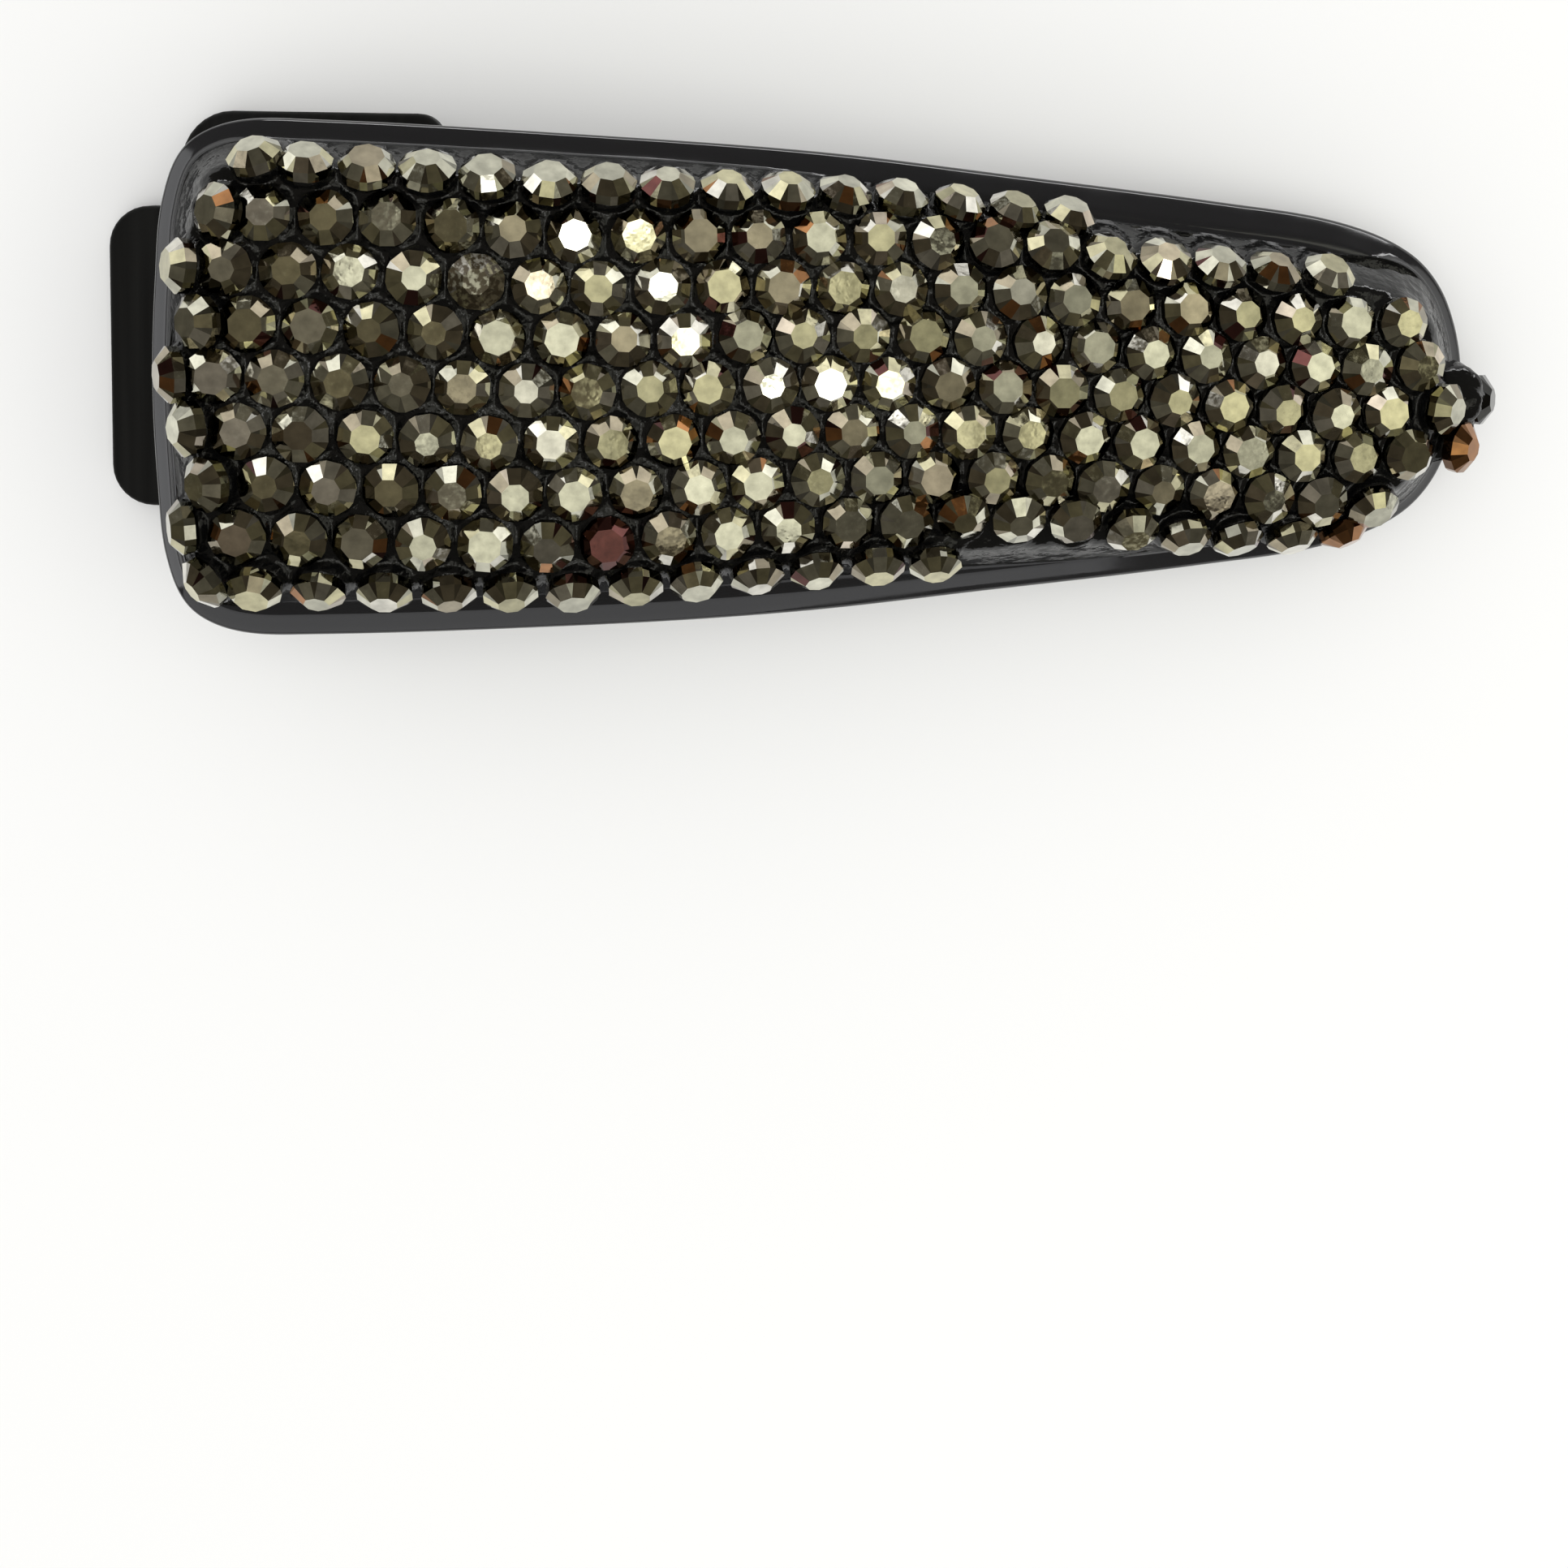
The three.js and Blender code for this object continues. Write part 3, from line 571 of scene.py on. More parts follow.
def turned(profile, count):
    """A solid turned about the pin's axis; profile is (radius, y), from axis to axis."""
    points = []
    for radius, y in profile:
        for k in range(count):
            angle = 2 * math.pi * k / count
            points.append((HINGE_X + radius * math.cos(angle), y, HINGE_Z - radius * math.sin(angle)))
    return points, bands(count, len(profile))


def pin_piece():
    turns = np.radians([0, 20, 40, 60, 78, 90])
    dome = [(PIN_RADIUS * math.sin(a), PIN_HALF - PIN_DOME * (1 - math.cos(a))) for a in turns]
    profile = [(r, -y) for r, y in dome]
    profile += [(PIN_RADIUS, y) for y in np.linspace(-PIN_STRAIGHT, PIN_STRAIGHT, 9)]
    profile += [(r, y) for r, y in reversed(dome)]
    points, faces = turned(profile, PIN_SIDES)
    return make_mesh("pin", points, faces, merge=FINE_SEAM)


def spring_path():
    """The wire's middle line: the leg under the upper arm, the coil, the leg over the lower arm."""
    end = HINGE_X - LEG_REACH
    upper_end = np.array([end, COIL_HALF, float(under_height(end, COIL_HALF)) - LEG_GAP])
    lower_end = np.array([end, -COIL_HALF, float(arm_bottom(end)) + ARM_THICK + LEG_GAP])

    def coil(share):
        angle = math.pi / 2 - share * COIL_TURNS * 2 * math.pi
        x, z = HINGE_X + COIL_RADIUS * math.cos(angle), HINGE_Z + COIL_RADIUS * math.sin(angle)
        return np.array([x, lerp(COIL_HALF, -COIL_HALF, share), z])

    legs = np.linspace(0, 1, 14)
    path = [lerp(upper_end, coil(0), t) for t in legs[:-1]]
    path += [coil(t) for t in np.linspace(0, 1, int(COIL_TURNS * 36) + 1)]
    path += [lerp(coil(1), lower_end, t) for t in legs[1:]]
    return np.array(path)


def spring_piece():
    path = spring_path()
    along = np.gradient(path, axis=0)
    along /= np.linalg.norm(along, axis=1)[:, None]
    across = np.array([0.0, 1, 0]) - along * along[:, 1:2]
    across /= np.linalg.norm(across, axis=1)[:, None]
    third = np.cross(along, across)
    points = []
    stations = [(0, -past, share) for past, share in WIRE_END]
    stations += [(k, 0, 1) for k in range(len(path))]
    stations += [(-1, past, share) for past, share in reversed(WIRE_END)]
    for at, shift, share in stations:
        for k in range(WIRE_SIDES):
            angle = 2 * math.pi * k / WIRE_SIDES
            out = across[at] * math.cos(angle) + third[at] * math.sin(angle)
            points.append(path[at] + along[at] * shift * WIRE_RADIUS + out * WIRE_RADIUS * share)
    faces = bands(WIRE_SIDES, len(stations)) + closed_ends(WIRE_SIDES, len(points))
    return make_mesh("spring", points, faces)


# ---------------------------------------------------------------- stones and glue

def row_reach(row, x):
    """A row's distance over the surface from the centreline; positive towards +Y."""
    gap = lerp(ROW_GAP_BACK, ROW_GAP_TIP, passed(x, ROW_GAP_SPAN))
    middle = np.interp(x, middle_path[:, 0], middle_path[:, 1])
    return middle + (MIDDLE_ROW - row) * gap + ROWS[row].get("shift", 0)


def across_to(x, distance):
    """The y at a distance over the surface from the centreline."""
    side = math.copysign(1, distance)
    ys = np.arange(0, SURFACE_REACH, SURFACE_STEP) * side
    heights = top_height(np.full_like(ys, x), ys)
    travelled = np.concatenate([[0], np.cumsum(np.hypot(np.diff(ys), np.diff(heights)))])
    return float(np.interp(abs(distance), travelled, ys * side)) * side


def seat(x, y, lean):
    """A stone's place on the bed as four columns: along, across, normal and its back's centre.

    The lean turns it towards the finger end. It is lifted until its back's edge clears the bed.
    """
    step = SEAT_REACH
    around = np.array([x - step, x + step, x, x, x]), np.array([y, y, y - step, y + step, y])
    heights = top_height(*around)
    bed = unit(np.array([heights[0] - heights[1], heights[2] - heights[3], 2 * step]))
    normal = unit(bed - np.array([lean * bed[2], 0, 0]))
    along = unit(np.array([1.0, 0, 0]) - normal * normal[0])
    across = np.cross(normal, along)
    centre = np.array([x, y, heights[4]])
    angles = np.arange(16) * math.pi / 8
    edge = centre + STONE_RADIUS * (np.outer(np.cos(angles), along) + np.outer(np.sin(angles), across))
    rise = (top_height(edge[:, 0], edge[:, 1]) - edge[:, 2]) * bed[2] / (bed @ normal)
    lift = max(0.0, float(np.max(np.where(depth_inside(edge[:, 0], edge[:, 1]) < 0, 0, rise))))
    return np.column_stack([along, across, normal, centre + normal * (lift + SEAT_LIFT)])


def row_seats(row):
    """The seats of a row's stones, from the finger end to the tip."""
    places = ROWS[row]
    pitch = places.get("pitch", STONE_PITCH)
    stations = [places["edge"]]
    place = 0
    x = places["start"]
    while x <= places["end"]:
        stations.append(x)
        place += 1
        x = places["start"] + pitch * place - PITCH_EASE * place * place
    leans = [EDGE_LEAN] + [0] * place
    seats = [seat(x, across_to(x, row_reach(row, x)), lean) for x, lean in zip(stations, leans)]
    if "tip" in places:
        tilt = math.radians(TIP_TILT)
        cos, sin = math.cos(tilt), math.sin(tilt)
        axes = np.array([[cos, 0, sin], [0, 1, 0], [-sin, 0, cos]])
        seats.append(np.column_stack([axes, (places["tip"], row_reach(row, places["tip"]), TIP_STONE_Z)]))
    return seats


all_seats = [row_seats(row) for row in range(len(ROWS))]


def outer_lean(row, x):
    """A stone's lean out over the shoulder at its side and its shift inwards; negative on the -Y side."""
    if row == 0:
        return ROW_1_BORDER
    if row == 1 and x > ROWS[0]["end"]:
        return ROW_2_BORDER
    if row == 7 and x > ROWS[8]["end"]:
        return ROW_8_BORDER
    if row == 8:
        return ROW_9_BORDER
    return 0, 0


def hand_set(place, row, number):
    """The same seat, off level, shifted and turned, as a stone pressed into glue by hand."""
    lean, inset = outer_lean(row, place[0, 3])
    end_lean, end_inset = FIRST_BORDER if number == 0 and 0 < row < 8 else (0, 0)
    tip_x, tip_y = random.gauss(-lean, HAND_TILT), random.gauss(-end_lean, HAND_TILT)
    turn = random.uniform(0, math.pi / 4)
    axes = Matrix(place[:, :3].tolist()) @ Matrix.Rotation(tip_x, 3, "X")
    axes = axes @ Matrix.Rotation(tip_y, 3, "Y") @ Matrix.Rotation(turn, 3, "Z")
    centre = place[:, 3] + place[:, 2] * random.uniform(*HAND_HEIGHT)
    centre = centre + place[:, 0] * (random.uniform(-HAND_ALONG, HAND_ALONG) + end_inset)
    centre = centre + place[:, 1] * (random.uniform(-HAND_ACROSS, HAND_ACROSS) - inset)
    return np.column_stack([np.array(axes), centre])


def ring(radius, height, angles):
    return [(radius * math.cos(a), radius * math.sin(a), height) for a in np.radians(angles)]


def stone_shape(size, table_size):
    """A round flat-backed stone: octagonal table, eight main facets, eight small ones, girdle."""
    table = ring(TABLE_RADIUS * table_size, STONE_HEIGHT, np.arange(22.5, 360, 45))
    rim = [45 * k + a for k in range(8) for a in (-GIRDLE_HALF_ANGLE, GIRDLE_HALF_ANGLE)]
    girdle = ring(STONE_RADIUS * size, GIRDLE_HEIGHT, rim)
    foot = ring(STONE_RADIUS * size * FOOT_SHARE, 0.0, rim)
    points = table + girdle + foot
    faces = [tuple(range(8))]
    for k in range(8):
        faces.append((8 + 2 * k, 8 + 2 * k + 1, k, (k - 1) % 8))
        faces.append((8 + 2 * k + 1, 8 + (2 * k + 2) % 16, k))
    faces += [(24 + i, 24 + (i + 1) % 16, 8 + (i + 1) % 16, 8 + i) for i in range(16)]
    faces.append(tuple(range(39, 23, -1)))
    return np.array(points), faces


# Coatings on the facets, with their weights in the draw for a facet and for a table.
COPPER = (0.32, 0.145, 0.05)
WINE = (0.11, 0.035, 0.03)
COATS = [
    ((0.57, 0.56, 0.45), 6, 6),  # grey-green
    ((0.50, 0.47, 0.30), 5, 5),  # olive
    ((0.31, 0.27, 0.19), 6, 1.2),  # brown
    ((0.72, 0.70, 0.62), 3, 1),  # pale
    ((0.53, 0.46, 0.36), 0.7, 0.1),  # rose
    (COPPER, 0.5, 0),
    (WINE, 0.5, 0),
]
FIRST_GIRDLE_FACE = 17  # face 0 is the table; main and small facets follow by turns
MAIN_SHADES = (0.7, 1.15)
SMALL_SHADES = (0.3, 0.7)  # of small facets, girdle and back
COPPER_STONES = {(5, 22), (7, 20)}  # row and place
WINE_STONES = {(7, 7)}
WORN_STONES = {(2, 5)}  # their coating has crazed
TIP_STONE = (MIDDLE_ROW, len(all_seats[MIDDLE_ROW]) - 1)
GLUE_SMEAR = (0.03, 0.03, 0.027)  # the tip stone's colour under its film of glue


def facet_coat(facet, place):
    """A facet's colour; its fourth value is 1 on the stones whose coating is worn."""
    colours, weights, table_weights = zip(*COATS)
    coat = random.choices(colours, table_weights if facet == 0 else weights)[0]
    main = facet == 0 or facet < FIRST_GIRDLE_FACE and facet % 2
    shade = random.uniform(*(MAIN_SHADES if main else SMALL_SHADES))
    if place in COPPER_STONES:
        coat = COPPER
    elif place in WINE_STONES:
        coat = WINE
    elif place == TIP_STONE:
        coat = GLUE_SMEAR
    return (*(value * shade for value in coat), 1.0 if place in WORN_STONES else 0.0)


def stone_row(row, material):
    points, faces, coats = [], [], []
    for number, place in enumerate(all_seats[row]):
        set_place = hand_set(place, row, number)
        shape, shape_faces = stone_shape(random.uniform(*STONE_SIZES), random.uniform(*TABLE_SIZES))
        add_part(points, faces, shape @ set_place[:, :3].T + set_place[:, 3], shape_faces)
        coats += [facet_coat(i, (row, number)) for i in range(len(shape_faces))]
    piece = make_mesh(f"stones_row_{row + 1}", points, faces)
    tint = piece.data.attributes.new("coat", "FLOAT_COLOR", "CORNER")
    corners = [coats[p.index] for p in piece.data.polygons for _ in p.loop_indices]
    tint.data.foreach_set("color", np.array(corners).ravel())
    return finish_piece(piece, material, "stones", "upper", f"stone_row_{row + 1}", smooth=False)


def lumps(points, size, seed, height):
    """Noise with features of about a size in millimetres."""
    places = [Vector((x / size, y / size, z / size + seed)) for x, y, z in points]
    return np.array([noise.noise(place) for place in places]) * height


def glue_top(x, y, foot):
    """The height of the glue's surface: a lumpy skin that climbs the sides of the stones."""
    depth = depth_inside(x, y) - foot
    base = top_height(x, y) + GLUE_BASE * np.sqrt(ease(depth / GLUE_EDGE))
    surface = base.copy()
    for place in [p for seats in all_seats for p in seats]:
        normal, centre = place[:, 2], place[:, 3]
        near = np.flatnonzero(np.hypot(x - centre[0], y - centre[1]) < STONE_RADIUS + GLUE_LIMIT)
        if normal[2] < COLLAR_LEVEL or not len(near):
            continue
        dx, dy = x[near] - centre[0], y[near] - centre[1]
        dz = -(normal[0] * dx + normal[1] * dy) / normal[2]
        away = np.sqrt(dx * dx + dy * dy + dz * dz) - STONE_RADIUS * GLUE_COLLAR
        climb = centre[2] + dz + GLUE_RISE / normal[2]
        share = np.exp(-np.maximum(away, 0) / GLUE_REACH)
        surface[near] = np.maximum(surface[near], lerp(base[near], climb, share))
    points = np.column_stack([x, y, surface])
    wander = lumps(points, *GLUE_LUMPS) + lumps(points, *GLUE_RIPPLES)
    return surface + wander * ease(depth / LUMP_EDGE)


def glue_piece():
    """The glue: a grid over the bed from flange to flange, and a coarser one just under the bed."""
    edges = {}
    half = side_of == 1
    for side in (1, -1):
        foot = flange_width(full_outline[:, 0], side * np.ones(len(full_outline))) + GLUE_MARGIN
        edges[side] = inset_loop(foot)[half]
    low = max(edges[1][0, 0], edges[-1][0, 0])
    high = min(edges[1][-1, 0], edges[-1][-1, 0])
    share = np.linspace(0, 1, GLUE_STATIONS)
    share = lerp(share, (1 - np.cos(math.pi * share)) / 2, GLUE_CROWDING)
    stations = lerp(low, high, share)
    left = np.interp(stations, edges[1][:, 0], edges[1][:, 1])
    right = -np.interp(stations, edges[-1][:, 0], edges[-1][:, 1])

    def grid(columns):
        across = np.tile(np.linspace(0, 1, columns), len(stations))
        y = lerp(np.repeat(right, columns), np.repeat(left, columns), across)
        return np.repeat(stations, columns), y

    columns, few = GLUE_COLUMNS, GLUE_UNDER_COLUMNS
    x, y = grid(columns)
    top = np.column_stack([x, y, glue_top(x, y, flange_width(x, y) + GLUE_MARGIN)])
    x, y = grid(few)
    under = np.column_stack([x, y, top_height(x, y) - GLUE_SINK])
    faces = []
    for s in range(len(stations) - 1):
        for c in range(columns - 1):
            a = s * columns + c
            faces.append((a, a + columns, a + columns + 1, a + 1))
        base = len(top) + s * few
        for c in range(few - 1):
            a = base + c
            faces.append((a, a + 1, a + few + 1, a + few))
        a, b = s * columns, base
        faces.append((a, b, b + few, a + columns))
        a, b = s * columns + columns - 1, base + few - 1
        faces.append((a, a + columns, b + few, b))
    points = [tuple(p) for p in np.vstack([top, under])]
    add_part(points, faces, *tip_glue())
    return make_mesh("glue", points, faces, merge=FINE_SEAM)


def tip_glue():
    """The lump of glue that holds the last stone over the tip."""
    swell, swell_fineness = TIP_GLUE_SWELL
    ripple, ripple_fineness = TIP_GLUE_RIPPLE
    points = []
    for polar in np.linspace(TIP_GLUE_POLE, math.pi - TIP_GLUE_POLE, TIP_GLUE_RINGS):
        for k in range(TIP_GLUE_SIDES):
            angle = 2 * math.pi * k / TIP_GLUE_SIDES
            level = math.sin(polar)
            way = np.array([level * math.cos(angle), level * math.sin(angle), math.cos(polar)])
            size = 1 + swell * noise.noise(Vector(way * swell_fineness))
            size += ripple * noise.noise(Vector(way * ripple_fineness))
            points.append(TIP_GLUE + way * TIP_GLUE_SIZE * size)
    faces = bands(TIP_GLUE_SIDES, TIP_GLUE_RINGS) + closed_ends(TIP_GLUE_SIDES, len(points))
    return points, [tuple(reversed(face)) for face in faces]


# ---------------------------------------------------------------- materials

WORN_ROUGHNESS = 0.45  # added where a coating is worn


def new_material(name, **inputs):
    """A material with its shader's sockets set; an underscore stands for a space in their names."""
    material = bpy.data.materials.new(name)
    material.use_nodes = True
    shader = material.node_tree.nodes["Principled BSDF"]
    for key, value in inputs.items():
        shader.inputs[key.replace("_", " ")].default_value = value
    return material, material.node_tree, shader


def node(tree, kind, **settings):
    """A new node with its properties or, failing those, its sockets set."""
    made = tree.nodes.new(kind)
    for key, value in settings.items():
        if hasattr(made, key):
            setattr(made, key, value)
        else:
            made.inputs[key.replace("_", " ")].default_value = value
    return made


def object_noise(tree, scale, detail=3.0, stretch=(1, 1, 1)):
    """Noise in the object's own space; scale is in features per metre."""
    where = node(tree, "ShaderNodeTexCoord")
    mapping = node(tree, "ShaderNodeMapping")
    mapping.inputs["Scale"].default_value = stretch
    made = node(tree, "ShaderNodeTexNoise", Scale=scale, Detail=detail)
    tree.links.new(where.outputs["Object"], mapping.inputs["Vector"])
    tree.links.new(mapping.outputs["Vector"], made.inputs["Vector"])
    return made.outputs["Fac"]


def ranged(tree, source, low, high, start=0.0, stop=1.0):
    """A value mapped from start-stop to low-high, and held there."""
    made = node(tree, "ShaderNodeMapRange")
    for key, value in (("From Min", start), ("From Max", stop), ("To Min", low), ("To Max", high)):
        made.inputs[key].default_value = value
    tree.links.new(source, made.inputs["Value"])
    return made.outputs["Result"]


def bump(tree, shader, source, distance, strength, under=None):
    """Relief of a depth in metres on the shader, over the relief under it if there is one."""
    made = node(tree, "ShaderNodeBump", Strength=strength, Distance=distance)
    tree.links.new(source, made.inputs["Height"])
    if under:
        tree.links.new(under, made.inputs["Normal"])
    tree.links.new(made.outputs["Normal"], shader.inputs["Normal"])
    return made.outputs["Normal"]


def gloss_black():
    material, tree, shader = new_material("gloss_black", Base_Color=(0.008, 0.008, 0.009, 1), IOR=1.5)
    smears = object_noise(tree, scale=160, detail=4)
    rough = ranged(tree, smears, low=0.05, high=0.16, start=0.35, stop=0.75)
    tree.links.new(rough, shader.inputs["Roughness"])
    waves = object_noise(tree, scale=420, detail=2)
    peel = bump(tree, shader, waves, distance=0.00001, strength=0.6)
    scratches = object_noise(tree, scale=5000, detail=2, stretch=(0.06, 1, 1))
    bump(tree, shader, scratches, distance=0.000002, strength=0.6, under=peel)
    return material


def matte_black():
    material, tree, shader = new_material("matte_black", IOR=1.46, Specular_IOR_Level=0.15)
    streaks = object_noise(tree, scale=1400, detail=3, stretch=(1, 0.03, 1))
    mix = node(tree, "ShaderNodeMix", data_type="RGBA")
    mix.inputs["A"].default_value = (0.004, 0.004, 0.004, 1)
    mix.inputs["B"].default_value = (0.014, 0.014, 0.013, 1)
    tree.links.new(streaks, mix.inputs["Factor"])
    tree.links.new(mix.outputs["Result"], shader.inputs["Base Color"])
    rough = ranged(tree, object_noise(tree, scale=300, detail=4), low=0.42, high=0.62, start=0.3, stop=0.7)
    tree.links.new(rough, shader.inputs["Roughness"])
    specks = object_noise(tree, scale=9000, detail=2)
    grain = bump(tree, shader, specks, distance=0.000012, strength=0.5)
    bump(tree, shader, streaks, distance=0.00001, strength=0.5, under=grain)
    return material


def steel():
    material, tree, shader = new_material("steel", Base_Color=(0.62, 0.63, 0.64, 1), Metallic=1.0)
    drawn = object_noise(tree, scale=3000, detail=3, stretch=(1, 0.08, 1))
    rough = ranged(tree, drawn, low=0.16, high=0.38, start=0.3, stop=0.7)
    tree.links.new(rough, shader.inputs["Roughness"])
    bump(tree, shader, drawn, distance=0.000004, strength=0.6)
    return material


def glue_black():
    black = (0.004, 0.004, 0.004, 1)
    material, tree, shader = new_material("glue", Base_Color=black, Specular_IOR_Level=0.3)
    rough = ranged(tree, object_noise(tree, scale=900, detail=3), low=0.06, high=0.2, start=0.35, stop=0.75)
    tree.links.new(rough, shader.inputs["Roughness"])
    bump(tree, shader, object_noise(tree, scale=700, detail=3), distance=0.00022, strength=0.9)
    return material


def stone_coat():
    """A metal coat in each facet's own colour, a little clouded, and crazed on the worn stones."""
    material, tree, shader = new_material("stones", Metallic=1.0, Coat_Weight=0.35, Coat_Roughness=0.03)
    coat = node(tree, "ShaderNodeAttribute", attribute_name="coat")
    clouds = object_noise(tree, scale=1100, detail=3)
    cloud = ranged(tree, clouds, low=0.75, high=1.15, start=0.3, stop=0.7)
    tinted = node(tree, "ShaderNodeMix", data_type="RGBA", blend_type="MULTIPLY")
    tinted.inputs["Factor"].default_value = 1.0
    tree.links.new(coat.outputs["Color"], tinted.inputs["A"])
    tree.links.new(cloud, tinted.inputs["B"])
    crazed = node(tree, "ShaderNodeMix", data_type="RGBA")
    crazed.inputs["B"].default_value = (0.10, 0.08, 0.05, 1)
    flakes = ranged(tree, object_noise(tree, scale=2600, detail=5), low=0, high=1, start=0.42, stop=0.55)
    worn = node(tree, "ShaderNodeMath", operation="MULTIPLY")
    tree.links.new(coat.outputs["Alpha"], worn.inputs[0])
    tree.links.new(flakes, worn.inputs[1])
    tree.links.new(worn.outputs[0], crazed.inputs["Factor"])
    tree.links.new(tinted.outputs["Result"], crazed.inputs["A"])
    tree.links.new(crazed.outputs["Result"], shader.inputs["Base Color"])
    dust = object_noise(tree, scale=2500, detail=3)
    polish = ranged(tree, dust, low=0.03, high=0.14, start=0.4, stop=0.75)
    rough = node(tree, "ShaderNodeMath", operation="MULTIPLY_ADD")
    rough.inputs[1].default_value = WORN_ROUGHNESS
    tree.links.new(coat.outputs["Alpha"], rough.inputs[0])
    tree.links.new(polish, rough.inputs[2])
    tree.links.new(rough.outputs[0], shader.inputs["Roughness"])
    bump(tree, shader, object_noise(tree, scale=1200, detail=2), distance=0.00001, strength=0.4)
    return material


# ---------------------------------------------------------------- the clip

plastic = gloss_black()
matte = matte_black()
metal = steel()
stone_material = stone_coat()

shell = finish_piece(shell_piece(), plastic, "gloss_black", "upper", "upper_arm")
finish_piece(arm_piece(), matte, "matte_black", "lower", "lower_arm")
finish_piece(pin_piece(), metal, "steel", "lower", "hinge_pin")
spring = finish_piece(spring_piece(), metal, "steel", None, "torsion_spring")
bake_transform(spring)
glue = finish_piece(glue_piece(), glue_black(), "glue", "upper", "glue_layer")
stones = [stone_row(row, stone_material) for row in range(len(ROWS))]


def lit_alone(name, pieces):
    """A collection of the only pieces that some of the lights reach."""
    group = bpy.data.collections.new(name)
    for piece in pieces:
        group.objects.link(piece)
    return group


shell_only = lit_alone("shell_only", [shell])
black_only = lit_alone("black_only", [shell, glue])
stones_only = lit_alone("stones_only", stones)


# ---------------------------------------------------------------- floor, light and camera, in metres

FLOOR_HALF = 3.0
CEILING_HEIGHT = 0.9
CEILING_DEPTH = (-0.4, 0.4)
LAMP_DROP = 0.05  # lamps under the ceiling
LAMP_BRIGHTNESS = 3.0
WALL_DISTANCE = 0.75
WINDOW_BRIGHTNESS = 1.2
PANEL_POWER = 4  # watts per square metre of panel for a brightness of 1
COOL_WHITE = (0.97, 0.98, 1)
CAMERA = (-1.86, 15.52, 152.7)  # millimetres
CAMERA_TILT = 6.15  # off the vertical, towards -Y
CAMERA_TURN = 1.18
CAMERA_LENS = 46.0
CAMERA_SHIFT = -0.258  # sets the clip in the upper part of the frame


def floor():
    half = FLOOR_HALF
    corners = [(-half, -half, 0), (half, -half, 0), (half, half, 0), (-half, half, 0)]
    mesh = bpy.data.meshes.new("floor")
    mesh.from_pydata(corners, [], [(0, 1, 2, 3)])
    plane = bpy.data.objects.new("floor", mesh)
    bpy.context.scene.collection.objects.link(plane)
    material, _, _ = new_material("floor", Base_Color=(0.9, 0.9, 0.9, 1), Roughness=0.8)
    mesh.materials.append(material)


def area_light(name, location, facing, width, height, brightness, colour):
    """A rectangular panel that shines against facing, unseen by the camera itself."""
    light = bpy.data.lights.new(name, "AREA")
    light.shape = "RECTANGLE"
    light.size = width
    light.size_y = height
    light.energy = PANEL_POWER * width * height * brightness
    light.color = colour
    lamp = bpy.data.objects.new(name, light)
    lamp.location = location
    lamp.rotation_euler = facing.to_track_quat("Z", "Y").to_euler()
    bpy.context.scene.collection.objects.link(lamp)
    lamp.visible_camera = False
    return lamp


def ceiling(name, x_span, y_span, brightness, colour=(1, 1, 1)):
    """A level panel over the clip, between two values of x and of y."""
    (x0, x1), (y0, y1) = x_span, y_span
    middle = Vector(((x0 + x1) / 2, (y0 + y1) / 2, CEILING_HEIGHT))
    return area_light(name, middle, Vector((0, 0, 1)), x1 - x0, y1 - y0, brightness, colour)


def wall(name, azimuths, elevations, brightness, colour=(1, 1, 1)):
    """A softbox that faces the clip, between two bearings (+X is 0, +Y is 90) and two elevations."""
    bearing, height = math.radians(sum(azimuths) / 2), math.radians(sum(elevations) / 2)
    level = math.cos(height)
    out = Vector((math.cos(bearing) * level, math.sin(bearing) * level, math.sin(height)))
    width = 2 * WALL_DISTANCE * math.tan(math.radians(azimuths[1] - azimuths[0]) / 2) * level
    tall = 2 * WALL_DISTANCE * math.tan(math.radians(elevations[1] - elevations[0]) / 2)
    return area_light(name, out * WALL_DISTANCE, out, width, tall, brightness, colour)


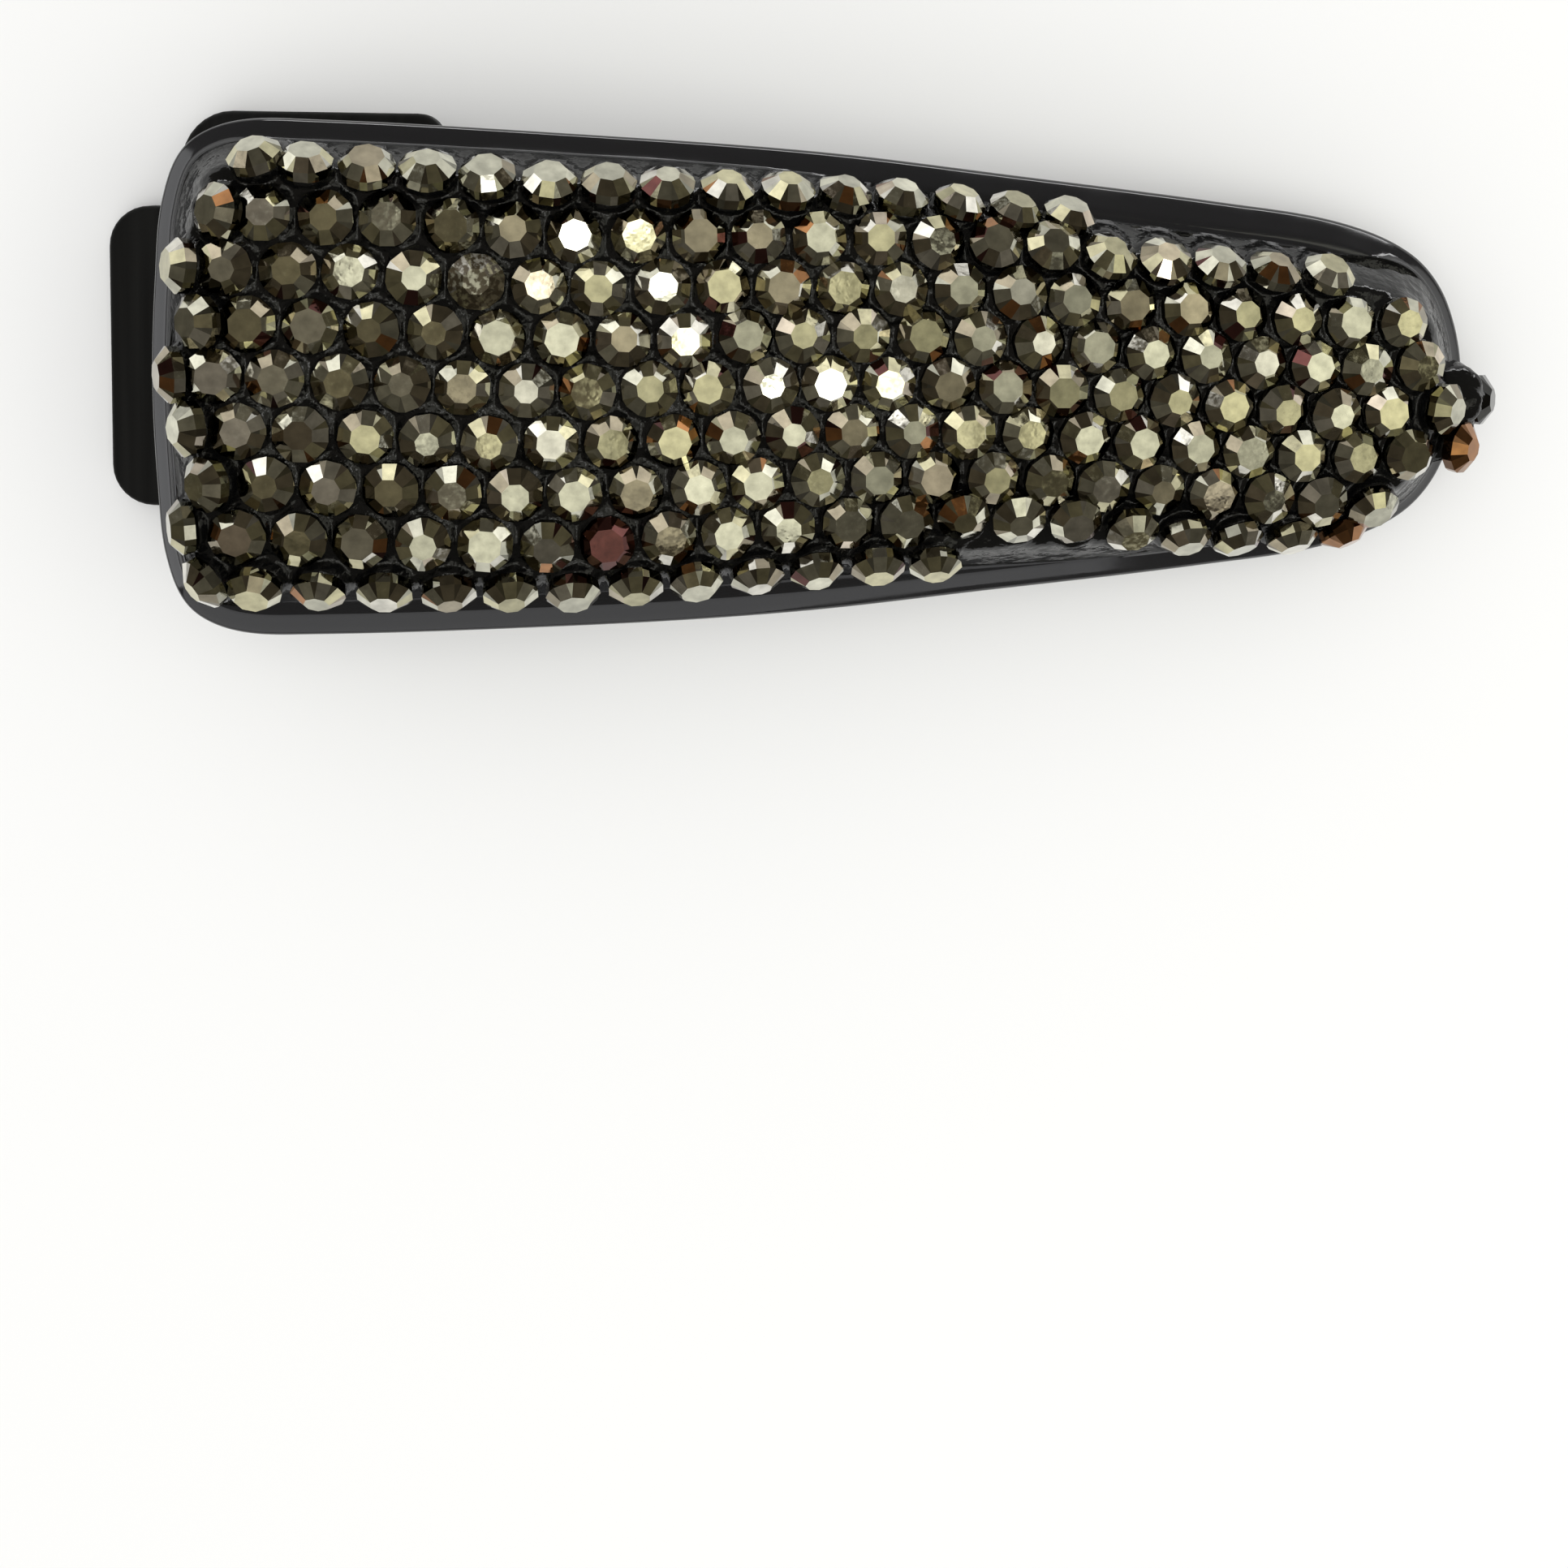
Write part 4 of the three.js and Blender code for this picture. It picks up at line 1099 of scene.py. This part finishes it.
def lights():
    ceiling("ceiling", (-0.02, 0.31), CEILING_DEPTH, 0.8, (1, 1, 0.88))
    ceiling("ceiling_dim", (0.31, 0.58), CEILING_DEPTH, 0.36, (1, 1, 0.85))
    ceiling("ceiling_far", (0.58, 1.0), CEILING_DEPTH, 0.85, (1, 1, 0.85))
    ceiling("zenith", (-0.5, -0.02), CEILING_DEPTH, 0.075, (1, 0.88, 0.75))
    lamps = [
        ceiling("lamp_left", (0.07, 0.15), (0.08, 0.18), LAMP_BRIGHTNESS),
        ceiling("lamp_right", (0.18, 0.27), (-0.15, -0.05), LAMP_BRIGHTNESS),
    ]
    for lamp in lamps:
        lamp.location.z -= LAMP_DROP
    linked = [
        (wall("window_right", (32, 74), (3, 20), WINDOW_BRIGHTNESS), stones_only),
        (wall("window_left", (105, 152), (5, 44), WINDOW_BRIGHTNESS), stones_only),
        (wall("soft_left", (140, 218), (8, 48), 1.6, COOL_WHITE), shell_only),
        (wall("soft_front", (218, 300), (8, 48), 0.75, COOL_WHITE), shell_only),
        (wall("glint", (40, 104), (2, 10), 7), black_only),
    ]
    for light, receivers in linked:
        light.light_linking.receiver_collection = receivers


def world():
    """A pale surround that lights the floor, but dim in reflections, so that stones keep their depth."""
    made = bpy.data.worlds.new("world")
    made.use_nodes = True
    tree = made.node_tree
    tree.nodes.clear()
    path = tree.nodes.new("ShaderNodeLightPath")
    dim = tree.nodes.new("ShaderNodeBackground")
    dim.inputs["Color"].default_value = (0.12, 0.11, 0.09, 1)
    pale = tree.nodes.new("ShaderNodeBackground")
    pale.inputs["Color"].default_value = (0.95, 0.95, 0.95, 1)
    mix = tree.nodes.new("ShaderNodeMixShader")
    out = tree.nodes.new("ShaderNodeOutputWorld")
    tree.links.new(path.outputs["Is Glossy Ray"], mix.inputs[0])
    tree.links.new(pale.outputs[0], mix.inputs[1])
    tree.links.new(dim.outputs[0], mix.inputs[2])
    tree.links.new(mix.outputs[0], out.inputs[0])
    bpy.context.scene.world = made


def camera():
    data = bpy.data.cameras.new("camera")
    data.lens = CAMERA_LENS
    data.sensor_width = 36
    data.shift_y = CAMERA_SHIFT
    data.clip_start = 0.01
    eye = bpy.data.objects.new("camera", data)
    eye.location = Vector(CAMERA) * MM
    eye.rotation_euler = (math.radians(-CAMERA_TILT), 0, math.radians(CAMERA_TURN))
    bpy.context.scene.collection.objects.link(eye)
    bpy.context.scene.camera = eye


floor()
lights()
world()
camera()
bpy.context.scene.view_settings.view_transform = "Standard"
